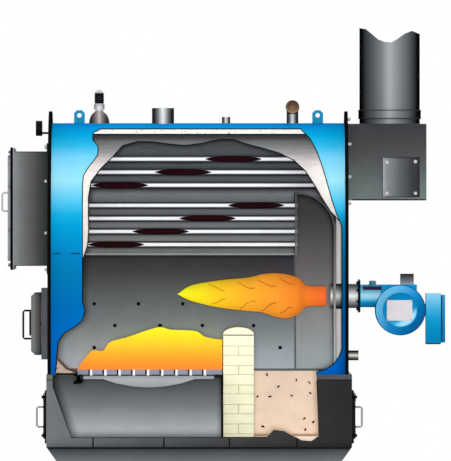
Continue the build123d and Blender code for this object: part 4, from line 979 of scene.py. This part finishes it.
# Fuel and flame
def make_fuel():
    """The burning bed on the grate: the drawn crest line with lumps across it."""
    length, height, half, rows = 1.087, 0.318, 0.662, 40
    crest = [(0.0, 0.02), (0.095, 0.43), (0.176, 0.445), (0.227, 0.65), (0.349, 0.77),
             (0.48, 0.925), (0.571, 1.0), (0.652, 0.94), (0.814, 0.91), (0.885, 0.77), (1.0, 0.70)]
    top = smooth_line([(GRATE_FRONT_X + length * a, GRATE_TOP_Z + height * b) for a, b in crest])
    rings = []
    for j in range(rows + 1):
        y = -half + 2 * half * j / rows
        ring = []
        for x, z in top:
            swell = 0.02 * math.sin(7.1 * x + 3.3 * y) + 0.014 * math.sin(17.0 * x - 9.0 * y)
            lump = 0.010 * math.sin(61.0 * x + 23.0 * y) * math.sin(47.0 * y + 13.0 * x)
            share = min(1.0, (z - GRATE_TOP_Z) / 0.12) * min(1.0, j / 3)
            drop = (0.046 - swell - lump) * share
            ring.append((x, y, min(max(z - drop, GRATE_TOP_Z + 0.001), GRATE_TOP_Z + height)))
        ring.append((top[-1][0], y, GRATE_TOP_Z))
        ring.append((top[0][0], y, GRATE_TOP_Z))
        rings.append(ring)
    solid = Solid()
    solid.skin(rings)
    fuel = solid.piece("glowing_fuel", "burning_fuel", smooth=ROUND)
    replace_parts(fuel, "fuel_bed")


def make_flame():
    """The burner's flame, and the folds on its near side as lines in X and Z."""
    upper = smooth_line([(-0.3485, 1.3423), (-0.2465, 1.4075), (0.0175, 1.445),
                         (0.2365, 1.4675), (0.349, 1.493), (0.4375, 1.5005), (0.514, 1.49),
                         (0.5695, 1.4623), (0.634, 1.4075), (0.7765, 1.4038)], 5)
    lower = smooth_line([(-0.3485, 1.3423), (-0.2465, 1.292), (-0.1032, 1.2425),
                         (0.1293, 1.2148), (0.2365, 1.2035), (0.349, 1.1705),
                         (0.4592, 1.16), (0.5695, 1.193), (0.634, 1.2478), (0.7765, 1.253)], 5)
    folds = [[(-0.113, 1.417), (-0.06, 1.396), (-0.02, 1.375), (0.012, 1.367)],
             [(0.102, 1.437), (0.135, 1.420), (0.165, 1.400), (0.200, 1.387), (0.235, 1.388)],
             [(0.255, 1.449), (0.300, 1.430), (0.350, 1.405), (0.405, 1.402)],
             [(0.420, 1.470), (0.452, 1.444), (0.490, 1.424), (0.540, 1.412)],
             [(-0.085, 1.272), (-0.050, 1.278), (-0.020, 1.297), (0.015, 1.308)],
             [(0.124, 1.233), (0.150, 1.248), (0.175, 1.272), (0.205, 1.287), (0.245, 1.291)],
             [(0.275, 1.214), (0.305, 1.222), (0.335, 1.250), (0.365, 1.270), (0.400, 1.277)],
             [(0.430, 1.200), (0.460, 1.212), (0.485, 1.236), (0.520, 1.248)]]
    sides, flatness, least_half = 28, 0.96, 0.0015
    rings = []
    spine = []
    for (xa, za), (xb, zb) in zip(upper, lower):
        x = (xa + xb) / 2
        mid = (za + zb) / 2
        half = max((za - zb) / 2, least_half)
        spine.append((x, mid, half))
        ring = []
        for k in range(sides):
            t = 2 * math.pi * k / sides
            waved = half * (1 + 0.03 * math.sin(5 * t + 14 * x) * (abs(math.sin(t)) < 0.95))
            ring.append((x, waved * math.cos(t) * flatness, mid + half * math.sin(t)))
        rings.append(ring)
    solid = Solid()
    solid.skin(rings)
    solid.piece("burner_flame", "burning_gas", smooth=ROUND)
    lines = []
    for fold in folds:
        points = []
        for x, z in smooth_line(fold, 4):
            _, mid, half = min(spine, key=lambda s: abs(s[0] - x))
            out = math.sqrt(max(half ** 2 - (z - mid) ** 2, 0.0)) * flatness
            points.append((x, -out - 0.001, z))
        lines.append(points)
    make_bars("flame_folds", "flame_fold", 0.0034, lines)


# Bolts, nuts, studs and other small things
def make_fastenings():
    flange_x, sheet_x = -1.331, 0.939
    bright = Solid()
    bright.bolts(flange_x, -1, (-0.531, 0.531), (1.5313, 1.805, 2.195, 2.4613), 0.010, 0.018)
    bright.bolts(flange_x, -1, (-0.354, -0.177, 0.0, 0.177, 0.354), (1.526, 2.451), 0.010, 0.018)
    bright.bolts(sheet_x, 1, (-0.472, 0.472), (2.0278, 2.2288, 2.4748), 0.011, 0.024)
    bright.bolts(sheet_x, 1, (-0.36, -0.18, 0.0, 0.18, 0.36), (2.0278, 2.6675), 0.010, 0.022)
    for x, z in ((1.2317, 2.3375), (1.4463, 2.3428), (1.2317, 2.105), (1.4463, 2.105)):
        bright.bolt((x, -0.45, z), TO_NEAR, 0.009, 0.009)
    bright.piece("bright_bolts", "bright_nut")

    cover_x = -1.606
    cover = Solid()
    cover.bolts(cover_x, -1, (-0.496, 0.496), (1.5653, 1.8275, 2.1575, 2.3825), 0.011, 0.018)
    cover.bolts(cover_x, -1, (-0.3, -0.1, 0.1, 0.3), (1.561, 2.416), 0.011, 0.018)
    cover.piece("smokebox_cover_bolts", "dull_nut", body=SMOKEBOX_LEAF)

    burner_bolts, burner_bolt_r = 8, 0.108
    dark = Solid()
    for x, side in ((-1.329, -1), (0.964, 1)):
        dark.bolts(x, side, (-0.285, 0.33), (0.275, 0.566), 0.011, 0.045)
    for i in range(burner_bolts):
        t = 2 * math.pi * (i + 0.5) / burner_bolts
        dark.bolt((1.017, burner_bolt_r * math.cos(t), BURNER_Z + burner_bolt_r * math.sin(t)),
                  TO_FRONT, 0.009, 0.012)
    dark.bolts(-1.376, -1, (-0.252, 0.252), (0.90, 1.12, 1.34), 0.008, 0.004)
    dark.piece("dark_studs", "black_enamel")


def make_ports():
    """Observation and air ports on the furnace's far wall."""
    wall_y = 0.668
    places = ((-0.986, 1.265), (-0.6485, 1.265), (-0.311, 1.265), (-0.8285, 1.1), (-0.4835, 1.1),
              (-0.161, 1.1), (0.229, 1.1), (-0.986, 0.9313), (0.4315, 0.9313))
    make_turned("furnace_ports", "black_enamel",
                [(0.014, 0.0), (0.014, 0.004), (0.0125, 0.006), (0.009, 0.006), (0.008, 0.002)],
                16, TO_NEAR, [(x, wall_y, z) for x, z in places], TURNED)


def make_stones():
    """Dark stones that show in the hopper's cast face."""
    face_y, corners = -0.666, 7
    stones = Solid()
    for x, z in ((0.3265, 0.74), (0.5477, 0.6988), (0.6452, 0.68), (0.4128, 0.65),
                 (0.6528, 0.6013), (0.2552, 0.575), (0.349, 0.575), (0.514, 0.5825),
                 (0.2965, 0.35), (0.6152, 0.3275), (0.6753, 0.3838), (0.6078, 0.41)):
        turn = random.uniform(0.0, math.pi)
        long = random.uniform(0.011, 0.015)
        short = random.uniform(0.006, 0.008)
        outline = []
        for c, s in circle(1.0, corners):
            a, b = long * c, short * s * random.uniform(0.8, 1.1)
            outline.append((x + a * math.cos(turn) - b * math.sin(turn),
                            z + a * math.sin(turn) + b * math.cos(turn)))
        stones.prism(outline, face_y - 0.0025, face_y + 0.002)
    stones.piece("hopper_stones", "black_edge")


def make_burner_trim():
    """Bare plate and rivets, the fan's rims, and what stands on the burner's neck."""
    plate_y = -0.2535
    make_blocks("motor_nameplate", "bare_plate", 0.0015,
                [((1.234, plate_y, 1.1428), (1.426, plate_y + 0.004, 1.298))])
    make_turned("burner_rivets", "dull_nut", [(0.004, 0.0), (0.0036, 0.0018)], 10,
                TO_NEAR, [(x, plate_y, z) for x in (1.243, 1.417) for z in (1.152, 1.289)])
    make_bars("fan_rim", "edge_blue", 0.0032,
              [[(FAN_X + a, y, FAN_Z + b) for a, b in circle(0.1885, 48)]
               for y in (-0.1185, 0.1185)], closed=True)
    make_blocks("burner_strip", "dark_strip", 0.003,
                [((1.054, -0.086, 1.3740), (1.195, -0.040, 1.4020))])
    make_turned("burner_switch", "switch_grey",
                [(0.030, 0.0), (0.030, 0.006), (0.026, 0.010), (0.026, 0.026), (0.022, 0.0315)],
                24, UP, [(1.129, 0.0, 1.413)], TURNED)
    make_turned("cabinet_gland", "black_enamel",
                [(0.020, -0.004), (0.020, 0.0046)], 12, TO_REAR, [(1.5265, 0.0, 1.2275)])


def make_gauge_dial():
    """A bare dial with tick marks and a pointer."""
    x, z = -1.4165, 2.598
    marks_x, pointer_x = x - 0.0014, x - 0.002
    make_turned("gauge_dial", "bare_plate", [(0.050, 0.0), (0.050, 0.0012)], 32,
                TO_FRONT, [(x, 0.0, z)])
    marks = Solid()
    for i in range(11):
        t = math.radians(225 - 27 * i)
        marks.bar([(marks_x, -r * math.cos(t), z + r * math.sin(t)) for r in (0.038, 0.045)],
                  0.0008)
    t = math.radians(120)
    marks.bar([(pointer_x, -r * math.cos(t), z + r * math.sin(t)) for r in (0.0, 0.034)], 0.0013)
    marks.lathe((x, 0.0, z), TO_FRONT, [(0.005, 0.0012), (0.004, 0.0035)], 12)
    marks.piece("gauge_marks", "black_enamel")


def make_valve():
    """The relief valve's round bell and the coils of its spring case."""
    foot_z, coils_z, coil_pitch = 2.633, 2.788, 0.015
    make_turned("valve_bell", "valve_cast", [
        (0.0770, 0.0), (0.0765, 0.012), (0.0740, 0.030), (0.0680, 0.050), (0.0580, 0.068),
        (0.0440, 0.082), (0.0330, 0.090), (0.0330, 0.094)], 32, UP, [(VALVE_X, 0.0, foot_z)],
        TURNED)
    make_turned("valve_spring_rings", "black_enamel",
                [(0.031, 0.0), (0.038, 0.002), (0.038, 0.006), (0.031, 0.009)], 20, UP,
                [(VALVE_X, 0.0, coils_z + coil_pitch * i) for i in range(5)], TURNED)


def make_stack_beads():
    make_bars("stack_beads", "bead_grey", 0.0032,
              [[(STACK_X + a, b, z) for a, b in circle(0.2372, 48)] for z in (2.672, 2.7335)],
              closed=True)


def make_jacket_dashes():
    """Two short drain slots' lips on the jacket's near side."""
    y, z = -0.84, 1.651
    make_blocks("jacket_dashes", "black_edge", 0.001, [
        ((x0, y - 0.004, z - 0.003), (x1, y + 0.002, z + 0.003))
        for x0, x1 in ((-1.2785, -1.226), (-1.1435, -1.076))])


def make_edge_beads():
    """Dark sealing beads: round the hatch, along the uptake's foot and the smokebox's seams."""
    r, uptake_y, smokebox_y = 0.0028, -0.4405, -0.4985
    bead = Solid()
    (x0, y, z0), (x1, _, z1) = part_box("cleanout_plate")
    bead.bar([(x0 + r, y, z0 + r), (x1 - r, y, z0 + r), (x1 - r, y, z1 - r), (x0 + r, y, z1 - r)],
             r, closed=True)
    (x0, _, z0), (x1, _, _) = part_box("rear_smokebox")
    bead.bar([(x0 + 0.03, uptake_y, z0 + 0.004), (x1 - 0.002, uptake_y, z0 + 0.004)], 0.004)
    for z in (1.5595, 2.4150):
        bead.bar([(-1.5785, smokebox_y, z), (-1.334, smokebox_y, z)], 0.0025)
    bead.piece("box_edge_beads", "black_edge", smooth=ROUND)


def make_leg_baffle():
    """The pale circulation baffle that stands in the rear water leg, clear of the burner tube."""
    clear = 0.095
    make_blocks("rear_leg_baffle", "leg_baffle", 0.001, [
        ((0.846, -0.665, z0), (0.8895, -0.660, z1))
        for z0, z1 in ((0.776, BURNER_Z - clear), (BURNER_Z + clear, 2.02))])


def make_lip_and_angle():
    """The burner tube's lip in the chamber and the steel angle at the end of the plenum."""
    make_turned("burner_tube_lip", "burner_tube_steel",
                [(0.0900, 0.0), (BURNER_TUBE_R, 0.002), (BURNER_TUBE_R, 0.0235)], 40, TO_REAR,
                [(0.8095, 0.0, BURNER_Z)], TURNED)
    make_blocks("plenum_end_angle", "black_enamel", 0.001,
                [((-0.0185, -0.664, 0.262), (-0.0040, -0.625, 0.700))])


def make_slot_light():
    """Pale blocks in the grate's air slots: painted light that shows through them."""
    starts = [GRATE_FRONT_X + 0.092 + 0.107 * i for i in range(9)]
    make_blocks("grate_slot_light", "slot_light_paint", 0.003, [
        ((x + 0.001, -0.6525, 0.733), (x + 0.021, -0.640, 0.786)) for x in starts])


make_camera()
make_world()
add_sun("key", (0.0, 1.0, -0.006), 1.88, 3)
add_sun("key_high", (0.05, 0.55, -0.84), 0.55, 30)
add_sun("back_fill", (-0.2, -1.0, -0.45), 2.0, 40)
add_sun("front_fill", (1.0, 0.0, -0.35), 1.6, 40)
add_sun("rear_fill", (-1.0, 0.0, -0.35), 1.6, 40)
make_floor()
dress_nodes()
make_tubes("third_pass_round_tubes", "third_pass_tubes", UPPER_TUBE_Z, UPPER_OPENINGS)
make_tubes("second_pass_round_tubes", "second_pass_tubes", LOWER_TUBE_Z, LOWER_OPENINGS)
make_opening_lips()
make_cut_lips()
make_bridge()
make_fuel()
make_flame()
make_fastenings()
make_ports()
make_stones()
make_burner_trim()
make_gauge_dial()
make_valve()
make_stack_beads()
make_jacket_dashes()
make_edge_beads()
make_leg_baffle()
make_lip_and_angle()
make_slot_light()

bpy.context.scene.view_settings.view_transform = "Standard"
